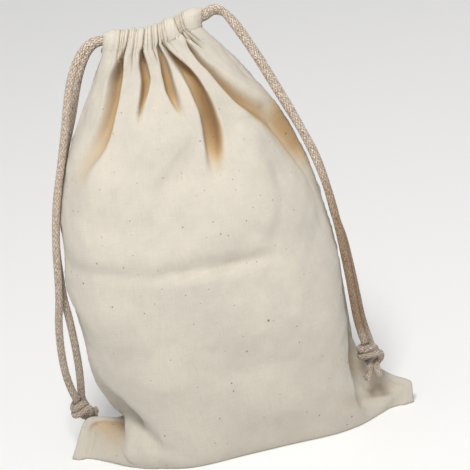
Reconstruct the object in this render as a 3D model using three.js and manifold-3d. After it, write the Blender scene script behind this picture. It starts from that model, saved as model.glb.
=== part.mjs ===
// Cotton drawstring storage bag, standing on its base with its mouth drawn shut.
// Millimetres, +Z up, the front faces -Y. The origin is on the surface it stands on, under the middle of the bag.
//
// The cloth is worked out in its own flat coordinates: "u" runs across a panel from its left side seam (0) to its right
// side seam (1), and "s" runs up the panel in millimetres from the bottom seam. Both panels share one shape rule.

import * as THREE from "three";
import Module from "manifold-3d";
import { mergeVertices } from "three/addons/utils/BufferGeometryUtils.js";

const wasm = await Module();
wasm.setup();

// Driving dimensions
const FLAT_WIDTH = 300;
const CLOTH = 1.2;
const PIECE_GAP = 0.36;
const CORD = 7;
const WALL_START = 134; // cloth height at which the walls have left the base and its corners
const SEAM_TOP = 428; // cloth height of the casing's stitch line, where the side seams end
const COLUMNS = 39;

// How the cloth leaves the surface at its rim and meets the wall: the rim's distance at which its bend is full, how far
// the bend runs out and, where the rim is short, up, and the longest reach of the wall's direction below it
const RIM_BEND = { fullAt: 40, out: 24, up: 22, wallReach: 62 };
// How far into the panel, as a share of its width, the seams' own paths raise the ears, how fast that eases off, and
// over how much cloth it begins above the surface
const EAR = { left: 0.24, right: 0.2, ease: 0.35, begin: 18 };
// Beside the ears' seams the two panels lie close together: how much, how far into the panel, and up to which height
const PINCH = { share: 0.7, width: 0.1, from: 20, high: 100, over: 34 };
// The tips of the ears point forward: by how much, from where across on, and up to which height
const TIPS = [
  { side: -1, from: 116, over: 34, forward: 10 },
  { side: 1, from: 126, over: 26, forward: 6 },
];
const TIP_HEIGHT = 32;
// The side seams part over the last bit of cloth below the casing. half: half of the opening there.
const PARTING = { from: 415, over: 13, half: 6 };
// The neck leans back: above a height, a point lies lower the further it is behind the front strands
const LEAN = { slope: 0.36, from: -10.5, low: 310, over: 50 };

// Colours of the parts
const ECRU = 0xd9cfbf;
const ROPE = 0xb7a594;

// The side seams, seen from the front: place across (x) and height (z) at each cloth height s.
// Low down they run out along the ears and come back in to the walls.
const LEFT_SEAM = [
  { s: 0, x: -150, z: 0.6 },
  { s: 38, x: -129, z: 32 },
  { s: 77, x: -91, z: 23 },
  { s: 100, x: -104, z: 36 },
  { s: 134, x: -118, z: 66 },
  { s: 180, x: -122, z: 112 },
  { s: 226, x: -125, z: 158 },
  { s: 262, x: -124, z: 194 },
  { s: 298, x: -119, z: 229 },
  { s: 343, x: -105, z: 272 },
  { s: 381, x: -88, z: 307 },
  { s: 409, x: -74, z: 332 },
  { s: 428, x: -66, z: 350 },
];
const RIGHT_SEAM = [
  { s: 0, x: 150, z: 0.6 },
  { s: 18, x: 151, z: 16.5 },
  { s: 38, x: 135.5, z: 26 },
  { s: 60, x: 119, z: 40 },
  { s: 80, x: 108.5, z: 54 },
  { s: 104, x: 105, z: 70 },
  { s: 134, x: 105, z: 90 },
  { s: 180, x: 103, z: 136 },
  { s: 226, x: 99, z: 182 },
  { s: 270, x: 92, z: 224 },
  { s: 324, x: 75, z: 277 },
  { s: 372, x: 51, z: 318 },
  { s: 397, x: 39, z: 338 },
  { s: 414, x: 28, z: 353 },
  { s: 428, x: 20, z: 364 },
];

// How far each panel stands out from the seam plane, and how boxy its section is, at each cloth height
const WALL = [
  { s: 134, front: 70, back: 67, power: 2.5 },
  { s: 180, front: 72, back: 72, power: 2.5 },
  { s: 240, front: 70, back: 70, power: 2.4 },
  { s: 290, front: 63, back: 64, power: 2.3 },
  { s: 340, front: 50, back: 52, power: 2.2 },
  { s: 380, front: 37, back: 40, power: 2.1 },
  { s: 410, front: 25, back: 27, power: 2 },
  { s: 428, front: 17, back: 17, power: 2 },
];

// The casing, a tunnel folded from the top of the panel: up its outer wall, over, and down its inner wall.
// end: how far from the seam plane the row's two ends stand. mid: the same at its middle.
const CASING = [
  { s: 434, leftX: -66, leftZ: 357, rightX: 20, rightZ: 365.5, end: 15.8, mid: 23.5, ripple: 1 },
  { s: 440, leftX: -65, leftZ: 363.5, rightX: 20.5, rightZ: 371, end: 15.6, mid: 24.5, ripple: 1 },
  { s: 446, leftX: -64, leftZ: 369.5, rightX: 21.5, rightZ: 376, end: 15.4, mid: 22.5, ripple: 0.9 },
  { s: 451, leftX: -63, leftZ: 373, rightX: 22.5, rightZ: 379.5, end: 11, mid: 13, ripple: 0.3 },
  { s: 456, leftX: -55, leftZ: 370, rightX: 9, rightZ: 376, end: 4.6, mid: 5.3, ripple: -0.1 },
  { s: 463, leftX: -54, leftZ: 361.5, rightX: 7.5, rightZ: 367.5, end: 3.9, mid: 4.3, ripple: -0.1 },
  { s: 470, leftX: -55, leftZ: 353, rightX: 7.5, rightZ: 359.5, end: 4.1, mid: 4.9, ripple: -0.1 },
];
const CASING_POWER = 2.4;
// How far the casing and the neck below it sag between their ends, and where across them the sag has run out
const DIP = { casing: 5.4, from: 340, over: 80, share: 0.86 };
// How strong the casing's pleats are just below it, and the cloth height where they begin
const NECK_RIPPLE = { strength: 0.55, from: 385, over: 40 };

// The edge of the patch of each panel that lies on the surface: its distance from the bottom seam across the bag
const RIM = [
  { x: -150, front: 0, back: 0 },
  { x: -126, front: 21, back: 12 },
  { x: -106, front: 37, back: 30 },
  { x: -75, front: 57, back: 54 },
  { x: -44, front: 66, back: 63 },
  { x: 0, front: 58, back: 64 },
  { x: 40, front: 51, back: 60 },
  { x: 75, front: 46, back: 50 },
  { x: 100, front: 36, back: 36 },
  { x: 125, front: 15, back: 15 },
  { x: 150, front: 0, back: 0 },
];

// The folds that run down from the gathered neck: u at the neck and at their lower end, the cloth height where they
// die out, their depth, and their width as a share of the panel
const FRONT_FOLDS = [
  { uTop: 0.2, uLow: 0.15, sLow: 320, depth: 13, width: 0.035 },
  { uTop: 0.37, uLow: 0.36, sLow: 350, depth: 13, width: 0.026 },
  { uTop: 0.53, uLow: 0.52, sLow: 354, depth: 12, width: 0.026 },
  { uTop: 0.64, uLow: 0.62, sLow: 300, depth: 15, width: 0.03 },
  { uTop: 0.76, uLow: 0.93, sLow: 285, depth: 12, width: 0.045 },
];
const BACK_FOLDS = [
  { uTop: 0.17, uLow: 0.12, sLow: 330, depth: 12, width: 0.035 },
  { uTop: 0.33, uLow: 0.31, sLow: 300, depth: 14, width: 0.03 },
  { uTop: 0.47, uLow: 0.49, sLow: 350, depth: 12, width: 0.026 },
  { uTop: 0.62, uLow: 0.66, sLow: 315, depth: 14, width: 0.03 },
  { uTop: 0.8, uLow: 0.86, sLow: 335, depth: 12, width: 0.035 },
];
const FOLD_SPREAD = { top: 0.55, grow: 0.9 }; // a fold's width at the neck, and how much it grows down to its end
const FOLD_FADE = { low: 0.75, above: 4, over: 30 }; // how soon a fold dies out below, and at the casing
const PLEATS = 10; // small pleats across the gathered casing
const PLEAT_DEPTH = 4.5;
const PLEAT_FLAT_LEFT = 0.12; // share of the casing that lies flat beside each end
const PLEAT_FLAT_RIGHT = 0.16;

// The two drawcords inside the casings. Each goes through one casing, turns at the far end and comes back through the
// other, so only the half on the front's side is listed and the other half mirrors it.
const LEFT_RUN = [
  [-59, 10.4, 366], [-48, 10.5, 364.4], [-34, 9.8, 362.6], [-20, 9.5, 360.8], [-6, 9.5, 360.4], [6, 9.1, 363],
  [12, 8.8, 364.1], [15.6, 5, 365],
];
const LEFT_RUN_TURN = [17, 0, 366.2];
const RIGHT_RUN = [
  [17, 10.3, 372.8], [8, 11.8, 372.2], [-2, 13.4, 369.1], [-12, 16.7, 365.5], [-22, 17.8, 361], [-34, 16.8, 355.5],
  [-45, 12.9, 355.2], [-52, 11, 356.8], [-57.6, 8.8, 357.4], [-60.6, 4.8, 357.8],
];
const RIGHT_RUN_TURN = [-61.6, 0, 358];

// The free strands, from the end of a casing to the knot: one from the front casing (a), one from the back casing (b)
const LEFT_A = [
  [-59.9, -10.4, 366.4], [-66, -10.5, 367], [-72.4, -10.8, 365.4], [-78.8, -11.2, 360.8], [-84.8, -11.8, 353.4],
  [-90.4, -12, 343.6], [-95.6, -11.6, 330.6], [-100.5, -11, 314], [-106, -10, 293], [-113, -9, 268], [-121, -8, 240],
  [-127.5, -7, 212], [-131.5, -6, 186], [-134, -5.8, 163], [-136.5, -5.5, 145], [-140.5, -5, 124], [-142.8, -4.4, 99],
  [-142.6, -3.8, 77], [-140.4, -2.2, 61.4], [-138, 0.6, 50.8],
];
const LEFT_B = [
  [-59.8, 10.5, 358.8], [-65.6, 10.5, 359.2], [-71, 10.4, 357.2], [-76.4, 10, 352.4], [-81.6, 9.4, 344.6],
  [-86.8, 8.6, 334], [-92, 7.4, 320], [-98, 6.4, 302], [-106.8, 5.2, 279], [-116.2, 3.6, 255], [-123.8, 2.4, 230],
  [-129, 1.8, 204], [-131.4, 1.6, 186], [-132.4, 1.7, 163], [-132.8, 1.8, 145], [-131.5, 2.4, 124],
  [-130.8, 3, 99], [-131.2, 3.8, 77], [-132.4, 5, 61.4], [-133.6, 6.2, 50.9],
];
const RIGHT_A = [
  [18.6, -10.3, 373.1], [24.5, -10.6, 375], [30.8, -11.4, 378.4], [36.4, -12, 377], [41.8, -12.6, 371.4],
  [46.8, -13, 362], [53.3, -13.4, 349], [61.4, -13.6, 331], [70.3, -13.6, 309], [79.6, -13.4, 286], [89.2, -13, 262],
  [97, -12.4, 236], [102.4, -12, 212], [105.6, -12, 190], [107.6, -12, 168], [109, -12, 146], [110.2, -12, 124],
  [110.8, -12.6, 104], [111.6, -14, 88], [113.4, -16, 75], [115.2, -17.6, 67.2],
];
const RIGHT_B = [
  [18.4, 10.1, 365.2], [24.6, 9.9, 366.8], [31.8, 9.8, 370.2], [38.4, 8.8, 369], [44.6, 7.8, 363.4], [50.6, 6.8, 353.8],
  [57.2, 5.4, 340.4], [65.2, 3.8, 322.6], [73.8, 2, 301.4], [82.2, 0, 280.6], [90.6, -2.2, 257.5], [96.7, -3.8, 240],
  [101.3, -4.4, 219], [104, -4.5, 200], [106.4, -4.5, 180], [110.4, -4.5, 160], [112.2, -4.6, 142], [113.6, -4.8, 124],
  [114.8, -5.8, 104], [115.8, -7.6, 88], [117.8, -9.6, 75], [119.4, -10.7, 67.2],
];

// The knots: centre, and the ends of the two short tails
const KNOT = { width: 19, depth: 18, height: 20, segments: 16, rings: 12, tailMiddle: 0.55 };
const LEFT_KNOT = { at: [-135.4, 5, 40.4], tails: [[-125, 9.6, 34.6], [-129, 13, 31]] };
const RIGHT_KNOT = { at: [117.2, -15.2, 56.4], tails: [[112.6, -23, 35], [121.6, -22, 38]] };

const clamp = (value, low, high) => Math.min(Math.max(value, low), high);
const mix = (a, b, t) => a + (b - a) * t;
const smooth = (t) => {
  const c = clamp(t, 0, 1);
  return c * c * (3 - 2 * c);
};

// Value of one column of a table at a place along its key, on a curve that never overshoots its rows
function lookUp(table, key, column, at) {
  const last = table.length - 1;
  if (at <= table[0][key]) return table[0][column];
  if (at >= table[last][key]) return table[last][column];
  let i = 0;
  while (table[i + 1][key] < at) i += 1;
  const step = (k) => table[k + 1][key] - table[k][key];
  const rise = (k) => (table[k + 1][column] - table[k][column]) / step(k);
  const slope = (k) => {
    if (k === 0) return rise(0);
    if (k === last) return rise(last - 1);
    const before = rise(k - 1);
    const after = rise(k);
    if (before * after <= 0) return 0;
    return (2 * before * after) / (before + after);
  };
  const h = step(i);
  const t = (at - table[i][key]) / h;
  const t2 = t * t;
  const t3 = t2 * t;
  return (
    table[i][column] * (2 * t3 - 3 * t2 + 1) +
    slope(i) * h * (t3 - 2 * t2 + t) +
    table[i + 1][column] * (3 * t2 - 2 * t3) +
    slope(i + 1) * h * (t3 - t2)
  );
}

// Leans a point of the drawn neck back
function leanBack(point) {
  const share = smooth((point.z - LEAN.low) / LEAN.over);
  return new THREE.Vector3(point.x, point.y, point.z - LEAN.slope * (point.y - LEAN.from) * share);
}

// A row of the panel as a plan curve between two ends, sampled at even lengths of cloth.
// deepest: where between the ends the curve stands out furthest, as a share.
const PLAN_STEPS = 120;
function planCurve({ leftX, rightX, end, mid, power, deepest }) {
  const middle = mix(leftX, rightX, deepest);
  const points = [];
  for (let i = 0; i <= PLAN_STEPS; i += 1) {
    const angle = (Math.PI * i) / PLAN_STEPS;
    const side = Math.cos(angle);
    const reach = Math.abs(side) ** (2 / power);
    const x = side > 0 ? middle - (middle - leftX) * reach : middle + (rightX - middle) * reach;
    points.push([x, end + (mid - end) * Math.sin(angle) ** (2 / power)]);
  }
  const lengths = [0];
  for (let i = 1; i <= PLAN_STEPS; i += 1) {
    lengths.push(lengths[i - 1] + Math.hypot(points[i][0] - points[i - 1][0], points[i][1] - points[i - 1][1]));
  }
  return (u) => {
    const target = u * lengths[PLAN_STEPS];
    let i = 1;
    while (i < PLAN_STEPS && lengths[i] < target) i += 1;
    const t = (target - lengths[i - 1]) / (lengths[i] - lengths[i - 1]);
    const across = points[i][0] - points[i - 1][0];
    const out = points[i][1] - points[i - 1][1];
    const size = Math.hypot(across, out);
    return {
      x: mix(points[i - 1][0], points[i][0], t),
      out: mix(points[i - 1][1], points[i][1], t),
      normalX: -out / size,
      normalOut: across / size,
    };
  };
}

// Height of a row between its two ends
function rowHeight(row, x) {
  const share = clamp((x - row.leftX) / (row.rightX - row.leftX), 0, 1);
  return mix(row.leftZ, row.rightZ, share) - row.dip * Math.sin(Math.PI * Math.min(share / DIP.share, 1));
}

// The plain row of a panel at a cloth height above the base, before its folds
function rowAt(s, side) {
  if (s > SEAM_TOP) {
    const row = { dip: DIP.casing, power: CASING_POWER, deepest: 0.5 };
    for (const column of ["leftX", "leftZ", "rightX", "rightZ", "end", "mid", "ripple"]) {
      row[column] = lookUp(CASING, "s", column, s);
    }
    return row;
  }
  return {
    leftX: lookUp(LEFT_SEAM, "s", "x", s),
    leftZ: lookUp(LEFT_SEAM, "s", "z", s),
    rightX: lookUp(RIGHT_SEAM, "s", "x", s),
    rightZ: lookUp(RIGHT_SEAM, "s", "z", s),
    end: mix(PIECE_GAP / 2, PARTING.half, smooth((s - PARTING.from) / PARTING.over)),
    mid: lookUp(WALL, "s", side.name, s),
    power: lookUp(WALL, "s", "power", s),
    deepest: side.deepest,
    dip: DIP.casing * smooth((s - DIP.from) / DIP.over),
    ripple: NECK_RIPPLE.strength * smooth((s - NECK_RIPPLE.from) / NECK_RIPPLE.over),
  };
}

// Small pleats of the casing, from 0 in a valley to 1 on a ridge
function pleat(u) {
  const inside = (u - PLEAT_FLAT_LEFT) / (1 - PLEAT_FLAT_LEFT - PLEAT_FLAT_RIGHT);
  if (inside <= 0 || inside >= 1) return 0;
  return (1 - Math.cos(2 * Math.PI * PLEATS * inside)) / 2;
}

// Depth of the long folds at a point of the panel
function foldDepth(folds, u, s) {
  let depth = 0;
  for (const fold of folds) {
    const down = clamp((SEAM_TOP - s) / (SEAM_TOP - fold.sLow), 0, 1);
    const centre = mix(fold.uTop, fold.uLow, down);
    const spread = fold.width * (FOLD_SPREAD.top + FOLD_SPREAD.grow * down);
    const below = smooth((1 - down) / FOLD_FADE.low);
    const strength = below * smooth((SEAM_TOP + FOLD_FADE.above - s) / FOLD_FADE.over);
    depth += fold.depth * strength * Math.exp(-(((u - centre) / spread) ** 2));
  }
  return depth;
}

// A point of the panel above its base
function wallPoint(u, s, side) {
  const row = rowAt(s, side);
  const plan = planCurve(row)(u);
  const push = row.ripple * PLEAT_DEPTH * pleat(u) - foldDepth(side.folds, u, s);
  const upright = new THREE.Vector3(
    plan.x + plan.normalX * push,
    side.sign * (plan.out + plan.normalOut * push),
    rowHeight(row, plan.x),
  );
  return leanBack(upright);
}

// A point between a start and an end with the given directions there
function bend(start, startDirection, end, endDirection, t) {
  const t2 = t * t;
  const t3 = t2 * t;
  return new THREE.Vector3()
    .addScaledVector(start, 2 * t3 - 3 * t2 + 1)
    .addScaledVector(startDirection, t3 - 2 * t2 + t)
    .addScaledVector(end, 3 * t2 - 2 * t3)
    .addScaledVector(endDirection, t3 - t2);
}

// A point of the panel near its base: along the surface to the rim, round it and up to the wall
function basePoint(u, s, side) {
  const x = mix(-FLAT_WIDTH / 2, FLAT_WIDTH / 2, u);
  const rim = lookUp(RIM, "x", side.name, x);
  const floor = new THREE.Vector3(x, side.sign * Math.max(Math.min(s, rim), PIECE_GAP / 2), CLOTH / 2);
  if (s <= rim) return floor;
  const top = wallPoint(u, WALL_START, side);
  const round = Math.min(rim / RIM_BEND.fullAt, 1);
  const out = new THREE.Vector3(0, side.sign * RIM_BEND.out * round, RIM_BEND.up * (1 - round));
  const up = wallPoint(u, WALL_START + 1, side).sub(top).multiplyScalar(WALL_START - rim);
  up.clampLength(0, RIM_BEND.wallReach);
  return bend(floor, out, top, up, (s - rim) / (WALL_START - rim));
}

// How the seam's own path differs from the plain base, carried a little way into the panel to raise the ears
function earShift(u, s, side, plainPoint) {
  const shift = new THREE.Vector3();
  const rim = lookUp(RIM, "x", side.name, mix(-FLAT_WIDTH / 2, FLAT_WIDTH / 2, u));
  const begun = smooth((s - rim) / EAR.begin);
  for (const [seam, edge, far] of [[LEFT_SEAM, 0, EAR.left], [RIGHT_SEAM, 1, EAR.right]]) {
    const inward = Math.abs(u - edge) / far;
    if (inward >= 1) continue;
    const plain = basePoint(edge, s, side);
    const hold = (1 - smooth(inward)) * (1 - EAR.ease * inward) * begun;
    shift.x += (lookUp(seam, "s", "x", s) - plain.x) * hold;
    shift.z += (lookUp(seam, "s", "z", s) - plain.z) * hold;
    const near = 1 - smooth(Math.abs(u - edge) / PINCH.width);
    shift.y -= plainPoint.y * PINCH.share * near * smooth(s / PINCH.from) * (1 - smooth((s - PINCH.high) / PINCH.over));
  }
  return shift;
}

// How far forward the tips of the ears draw a point
function tipForward(point) {
  let forward = 0;
  for (const tip of TIPS) forward += tip.forward * smooth((tip.side * point.x - tip.from) / tip.over);
  return forward * (1 - smooth(point.z / TIP_HEIGHT));
}

function panelPoint(u, s, side) {
  if (s >= WALL_START) return wallPoint(u, s, side);
  const plain = basePoint(u, s, side);
  return plain.clone().add(earShift(u, s, side, plain));
}

// A closed sheet of even thickness round a grid of points. Every row has the same number of points.
function sheetGeometry(grid, side) {
  const rows = grid.length;
  const columns = grid[0].length;
  const positions = [];
  const outer = (j, i) => j * columns + i;
  const inner = (j, i) => rows * columns + j * columns + i;
  const faces = [];
  const layers = [1, -1];
  for (const layer of layers) {
    for (let j = 0; j < rows; j += 1) {
      for (let i = 0; i < columns; i += 1) {
        const across = grid[j][Math.min(i + 1, columns - 1)].clone().sub(grid[j][Math.max(i - 1, 0)]);
        const along = grid[Math.min(j + 1, rows - 1)][i].clone().sub(grid[Math.max(j - 1, 0)][i]);
        const normal = across.cross(along).normalize().multiplyScalar(-side.sign);
        const point = grid[j][i].clone().addScaledVector(normal, (layer * CLOTH) / 2);
        point.z = Math.max(point.z, 0);
        if (side.sign * point.y < PIECE_GAP / 2) point.y = (side.sign * PIECE_GAP) / 2;
        point.y -= tipForward(point);
        positions.push(point.x, point.y, point.z);
      }
    }
  }
  const quad = (a, b, c, d) => faces.push(a, b, c, a, c, d);
  for (let j = 0; j < rows - 1; j += 1) {
    for (let i = 0; i < columns - 1; i += 1) {
      quad(outer(j, i), outer(j, i + 1), outer(j + 1, i + 1), outer(j + 1, i));
      quad(inner(j, i), inner(j + 1, i), inner(j + 1, i + 1), inner(j, i + 1));
    }
    quad(outer(j, 0), outer(j + 1, 0), inner(j + 1, 0), inner(j, 0));
    quad(outer(j + 1, columns - 1), outer(j, columns - 1), inner(j, columns - 1), inner(j + 1, columns - 1));
  }
  for (let i = 0; i < columns - 1; i += 1) {
    quad(outer(0, i + 1), outer(0, i), inner(0, i), inner(0, i + 1));
    quad(outer(rows - 1, i), outer(rows - 1, i + 1), inner(rows - 1, i + 1), inner(rows - 1, i));
  }
  const index = side.sign < 0 ? faces : faces.reverse();
  const geometry = new THREE.BufferGeometry();
  geometry.setAttribute("position", new THREE.Float32BufferAttribute(positions, 3));
  geometry.setIndex(index);
  geometry.computeVertexNormals();
  return geometry;
}

const ROWS = [
  0, 13, 26, 38, 50, 62, 74, 86, 102, 118, 134, 156, 180, 208, 238, 266, 294, 320, 344, 366, 386, 403, 417, 428, 434,
  440, 446, 451, 456, 463, 470,
];

function panelGeometry(side) {
  const grid = ROWS.map((s) => {
    const row = [];
    for (let i = 0; i <= COLUMNS; i += 1) row.push(panelPoint(i / COLUMNS, s, side));
    return row;
  });
  return sheetGeometry(grid, side);
}

const vectors = (points) => points.map(([x, y, z]) => new THREE.Vector3(x, y, z));

// A solid cord along a smooth curve through the points. step: the length of its short stretches, in diameters.
const CORD_MESH = { sides: 10, step: 1.6, fewest: 8, most: 80 };
function cordGeometry(points) {
  const curve = new THREE.CatmullRomCurve3(vectors(points), false, "centripetal");
  const section = new THREE.Shape();
  for (let i = 0; i < CORD_MESH.sides; i += 1) {
    const angle = (2 * Math.PI * i) / CORD_MESH.sides;
    const x = (Math.cos(angle) * CORD) / 2;
    const y = (Math.sin(angle) * CORD) / 2;
    if (i === 0) section.moveTo(x, y);
    else section.lineTo(x, y);
  }
  section.closePath();
  const stretches = Math.round(curve.getLength() / (CORD * CORD_MESH.step));
  const steps = clamp(stretches, CORD_MESH.fewest, CORD_MESH.most);
  return new THREE.ExtrudeGeometry(section, { steps, bevelEnabled: false, extrudePath: curve });
}

// Both halves of a drawcord inside the casings, the listed half at the front, joined at its turn
function runPoints(half, turn) {
  const front = half.map(([x, y, z]) => [x, -y, z]);
  const upright = vectors([...front, turn, ...half.slice().reverse()]);
  return upright.map((point) => leanBack(point).toArray());
}

function toSolid(geometry) {
  const plain = geometry.clone();
  plain.deleteAttribute("normal");
  plain.deleteAttribute("uv");
  const merged = mergeVertices(plain, 1e-4);
  const mesh = new wasm.Mesh({
    numProp: 3,
    vertProperties: new Float32Array(merged.attributes.position.array),
    triVerts: new Uint32Array(merged.index.array),
  });
  return new wasm.Manifold(mesh);
}

function fromSolid(solid) {
  const mesh = solid.getMesh();
  const geometry = new THREE.BufferGeometry();
  geometry.setAttribute("position", new THREE.BufferAttribute(mesh.vertProperties, 3));
  geometry.setIndex(new THREE.BufferAttribute(mesh.triVerts, 1));
  geometry.computeVertexNormals();
  return geometry;
}

// The outer form of the two-strand overhand knot with its two short tails
function knotGeometry({ at, tails }) {
  const body = new THREE.SphereGeometry(0.5, KNOT.segments, KNOT.rings);
  body.scale(KNOT.width, KNOT.height, KNOT.depth);
  body.rotateX(Math.PI / 2);
  body.translate(...at);
  let solid = toSolid(body);
  for (const tail of tails) {
    const middle = at.map((value, i) => mix(value, tail[i], KNOT.tailMiddle));
    solid = solid.add(toSolid(cordGeometry([at, middle, tail])));
  }
  return fromSolid(solid);
}

const cloth = new THREE.MeshStandardMaterial({ color: ECRU, roughness: 0.95, metalness: 0 });
const rope = new THREE.MeshStandardMaterial({ color: ROPE, roughness: 0.9, metalness: 0 });

const bag = new THREE.Group();
bag.name = "drawstring_bag";

function addMesh(name, geometry, material) {
  const mesh = new THREE.Mesh(geometry, material);
  mesh.name = name;
  bag.add(mesh);
}

const FRONT = { name: "front", sign: -1, deepest: 0.42, folds: FRONT_FOLDS };
const BACK = { name: "back", sign: 1, deepest: 0.5, folds: BACK_FOLDS };
addMesh("panel_front", panelGeometry(FRONT), cloth);
addMesh("panel_back", panelGeometry(BACK), cloth);
addMesh("cord_left_run", cordGeometry(runPoints(LEFT_RUN, LEFT_RUN_TURN)), rope);
addMesh("cord_right_run", cordGeometry(runPoints(RIGHT_RUN, RIGHT_RUN_TURN)), rope);
addMesh("cord_left_a", cordGeometry(LEFT_A), rope);
addMesh("cord_left_b", cordGeometry(LEFT_B), rope);
addMesh("cord_right_a", cordGeometry(RIGHT_A), rope);
addMesh("cord_right_b", cordGeometry(RIGHT_B), rope);
addMesh("knot_left", knotGeometry(LEFT_KNOT), rope);
addMesh("knot_right", knotGeometry(RIGHT_KNOT), rope);

export default bag;
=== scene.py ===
"""Looks of a cotton drawstring storage bag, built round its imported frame.

The bag stands on its base with its mouth drawn shut. The scene is in metres with +Z up, and the front of the
bag faces -Y. Tables and sizes of the cloth and the cords are in millimetres, because that is how a maker
measures them, and MM turns them into metres where a mesh is made. A place on a panel is given in the panel's
own flat cloth: u runs across it from its left side seam (0) to its right side seam (1), and s runs up it in
millimetres from the bottom seam.
"""

import logging
import math
from dataclasses import dataclass, field
from enum import Enum

import bpy
import numpy as np
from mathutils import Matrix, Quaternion, Vector


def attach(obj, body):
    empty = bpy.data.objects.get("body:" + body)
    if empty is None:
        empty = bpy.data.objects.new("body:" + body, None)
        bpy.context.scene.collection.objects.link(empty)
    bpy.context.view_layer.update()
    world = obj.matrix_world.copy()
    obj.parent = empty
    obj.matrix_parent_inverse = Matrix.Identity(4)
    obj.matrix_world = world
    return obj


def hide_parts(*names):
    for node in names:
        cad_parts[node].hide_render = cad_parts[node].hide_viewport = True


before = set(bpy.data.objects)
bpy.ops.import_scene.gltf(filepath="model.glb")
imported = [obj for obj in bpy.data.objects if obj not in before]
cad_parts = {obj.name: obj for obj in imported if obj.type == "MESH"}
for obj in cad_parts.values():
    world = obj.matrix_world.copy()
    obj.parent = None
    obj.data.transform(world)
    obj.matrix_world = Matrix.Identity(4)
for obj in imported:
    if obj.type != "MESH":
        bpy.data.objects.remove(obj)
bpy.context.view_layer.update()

LOG = logging.getLogger("drawstring_bag")
MM = 0.001
BODY = "root"

Numbers = float | np.ndarray
Colour = tuple[float, ...]
Point = tuple[float, ...]
Step = tuple[float, float]
Socket = bpy.types.NodeSocket
Value = Socket | float


class Slot(Enum):
    """The record's material slots."""

    CLOTH = "cotton_cloth"
    CORD = "cotton_cord"


def declare(piece: bpy.types.Object, node: str | None = None) -> None:
    """Says what a finished piece is, and reports it.

    Args:
        piece: The piece.
        node: The solid that it replaces, if it replaces one.
    """
    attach(piece, BODY)
    if node:
        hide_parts(node)
    LOG.info("%s: %d faces", piece.name, len(piece.data.polygons))


def between(start: Numbers, leaving: Numbers, end: Numbers, arriving: Numbers, t: Numbers) -> np.ndarray:
    """A smooth way from a start to an end that leaves and arrives at given slopes, as t goes from 0 to 1.

    Args:
        start: Where it starts.
        leaving: Its slope there.
        end: Where it ends.
        arriving: Its slope there.
        t: How far along it a place lies, or many.

    Returns:
        The value at each place.
    """
    return (
        start * (2 * t**3 - 3 * t**2 + 1) + leaving * (t**3 - 2 * t**2 + t)
        + end * (3 * t**2 - 2 * t**3) + arriving * (t**3 - t**2)
    )


def smooth(t: Numbers) -> np.ndarray:
    """A soft step from 0 to 1 as t goes from 0 to 1."""
    c = np.clip(t, 0, 1)
    return c * c * (3 - 2 * c)


def rise(x: Numbers, start: Numbers, span: float) -> np.ndarray:
    """A soft step from 0 to 1 as x goes up from a start over a span."""
    return smooth((x - start) / span)


def unit(vectors: np.ndarray) -> np.ndarray:
    """The vectors, each one long."""
    return vectors / np.maximum(np.linalg.norm(vectors, axis=-1, keepdims=True), 1e-12)


class Table:
    """Rows of named columns, read between its rows on smooth curves that never overshoot them."""

    def __init__(self, columns: str, *rows: tuple[float, ...]) -> None:
        """Keeps the rows.

        Args:
            columns: The columns' names, the key first.
            rows: One tuple for each row, in rising order of the key.
        """
        data = np.array(rows, float)
        self.key = data[:, 0]
        self.columns = dict(zip(columns.split(), data.T))

    def at(self, column: str, where: Numbers) -> np.ndarray:
        """The value of a column.

        Args:
            column: The column's name.
            where: One place along the key, or many.

        Returns:
            The value at each place, with the end rows' values past the ends.
        """
        values = self.columns[column]
        step = np.diff(self.key)
        climb = np.diff(values) / step
        slope = np.concatenate([[climb[0]], np.zeros(len(climb) - 1), [climb[-1]]])
        same = climb[:-1] * climb[1:] > 0
        total = np.where(same, climb[:-1] + climb[1:], 1)
        slope[1:-1] = np.where(same, 2 * climb[:-1] * climb[1:] / total, 0)
        place = np.clip(where, self.key[0], self.key[-1])
        i = np.clip(np.searchsorted(self.key, place, side="right") - 1, 0, len(step) - 1)
        t = (place - self.key[i]) / step[i]
        return between(values[i], slope[i] * step[i], values[i + 1], slope[i + 1] * step[i], t)


# The drawn neck leans back from this height on, and leans fully one span higher. A point then lies lower by
# this share of its way behind the front strands.
LEAN_FROM = 310
LEAN_SPAN = 50
LEAN = 0.36
FRONT_STRANDS = -10.5

# The tips of the two ears point forward, below a height: how far, and from where out, over how much width
TIP_HEIGHT = 32
LEFT_TIP = {"forward": 10, "start": 116, "span": 34}
RIGHT_TIP = {"forward": 6, "start": 126, "span": 26}


def leaned(points: np.ndarray) -> np.ndarray:
    """The points of the upright neck, in millimetres, leaned back."""
    down = LEAN * (points[..., 1] - FRONT_STRANDS) * rise(points[..., 2], LEAN_FROM, LEAN_SPAN)
    return points - down[..., None] * np.array([0.0, 0.0, 1.0])


def tips_forward(points: np.ndarray) -> np.ndarray:
    """How far forward the tips of the two ears point, at each of the cloth's points, in millimetres.

    Args:
        points: The cloth's points.

    Returns:
        A distance for each point.
    """
    x, low = points[..., 0], 1 - smooth(points[..., 2] / TIP_HEIGHT)
    sides = ((-x, LEFT_TIP), (x, RIGHT_TIP))
    left, right = (tip["forward"] * rise(out, tip["start"], tip["span"]) for out, tip in sides)
    return (left + right) * low


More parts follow.
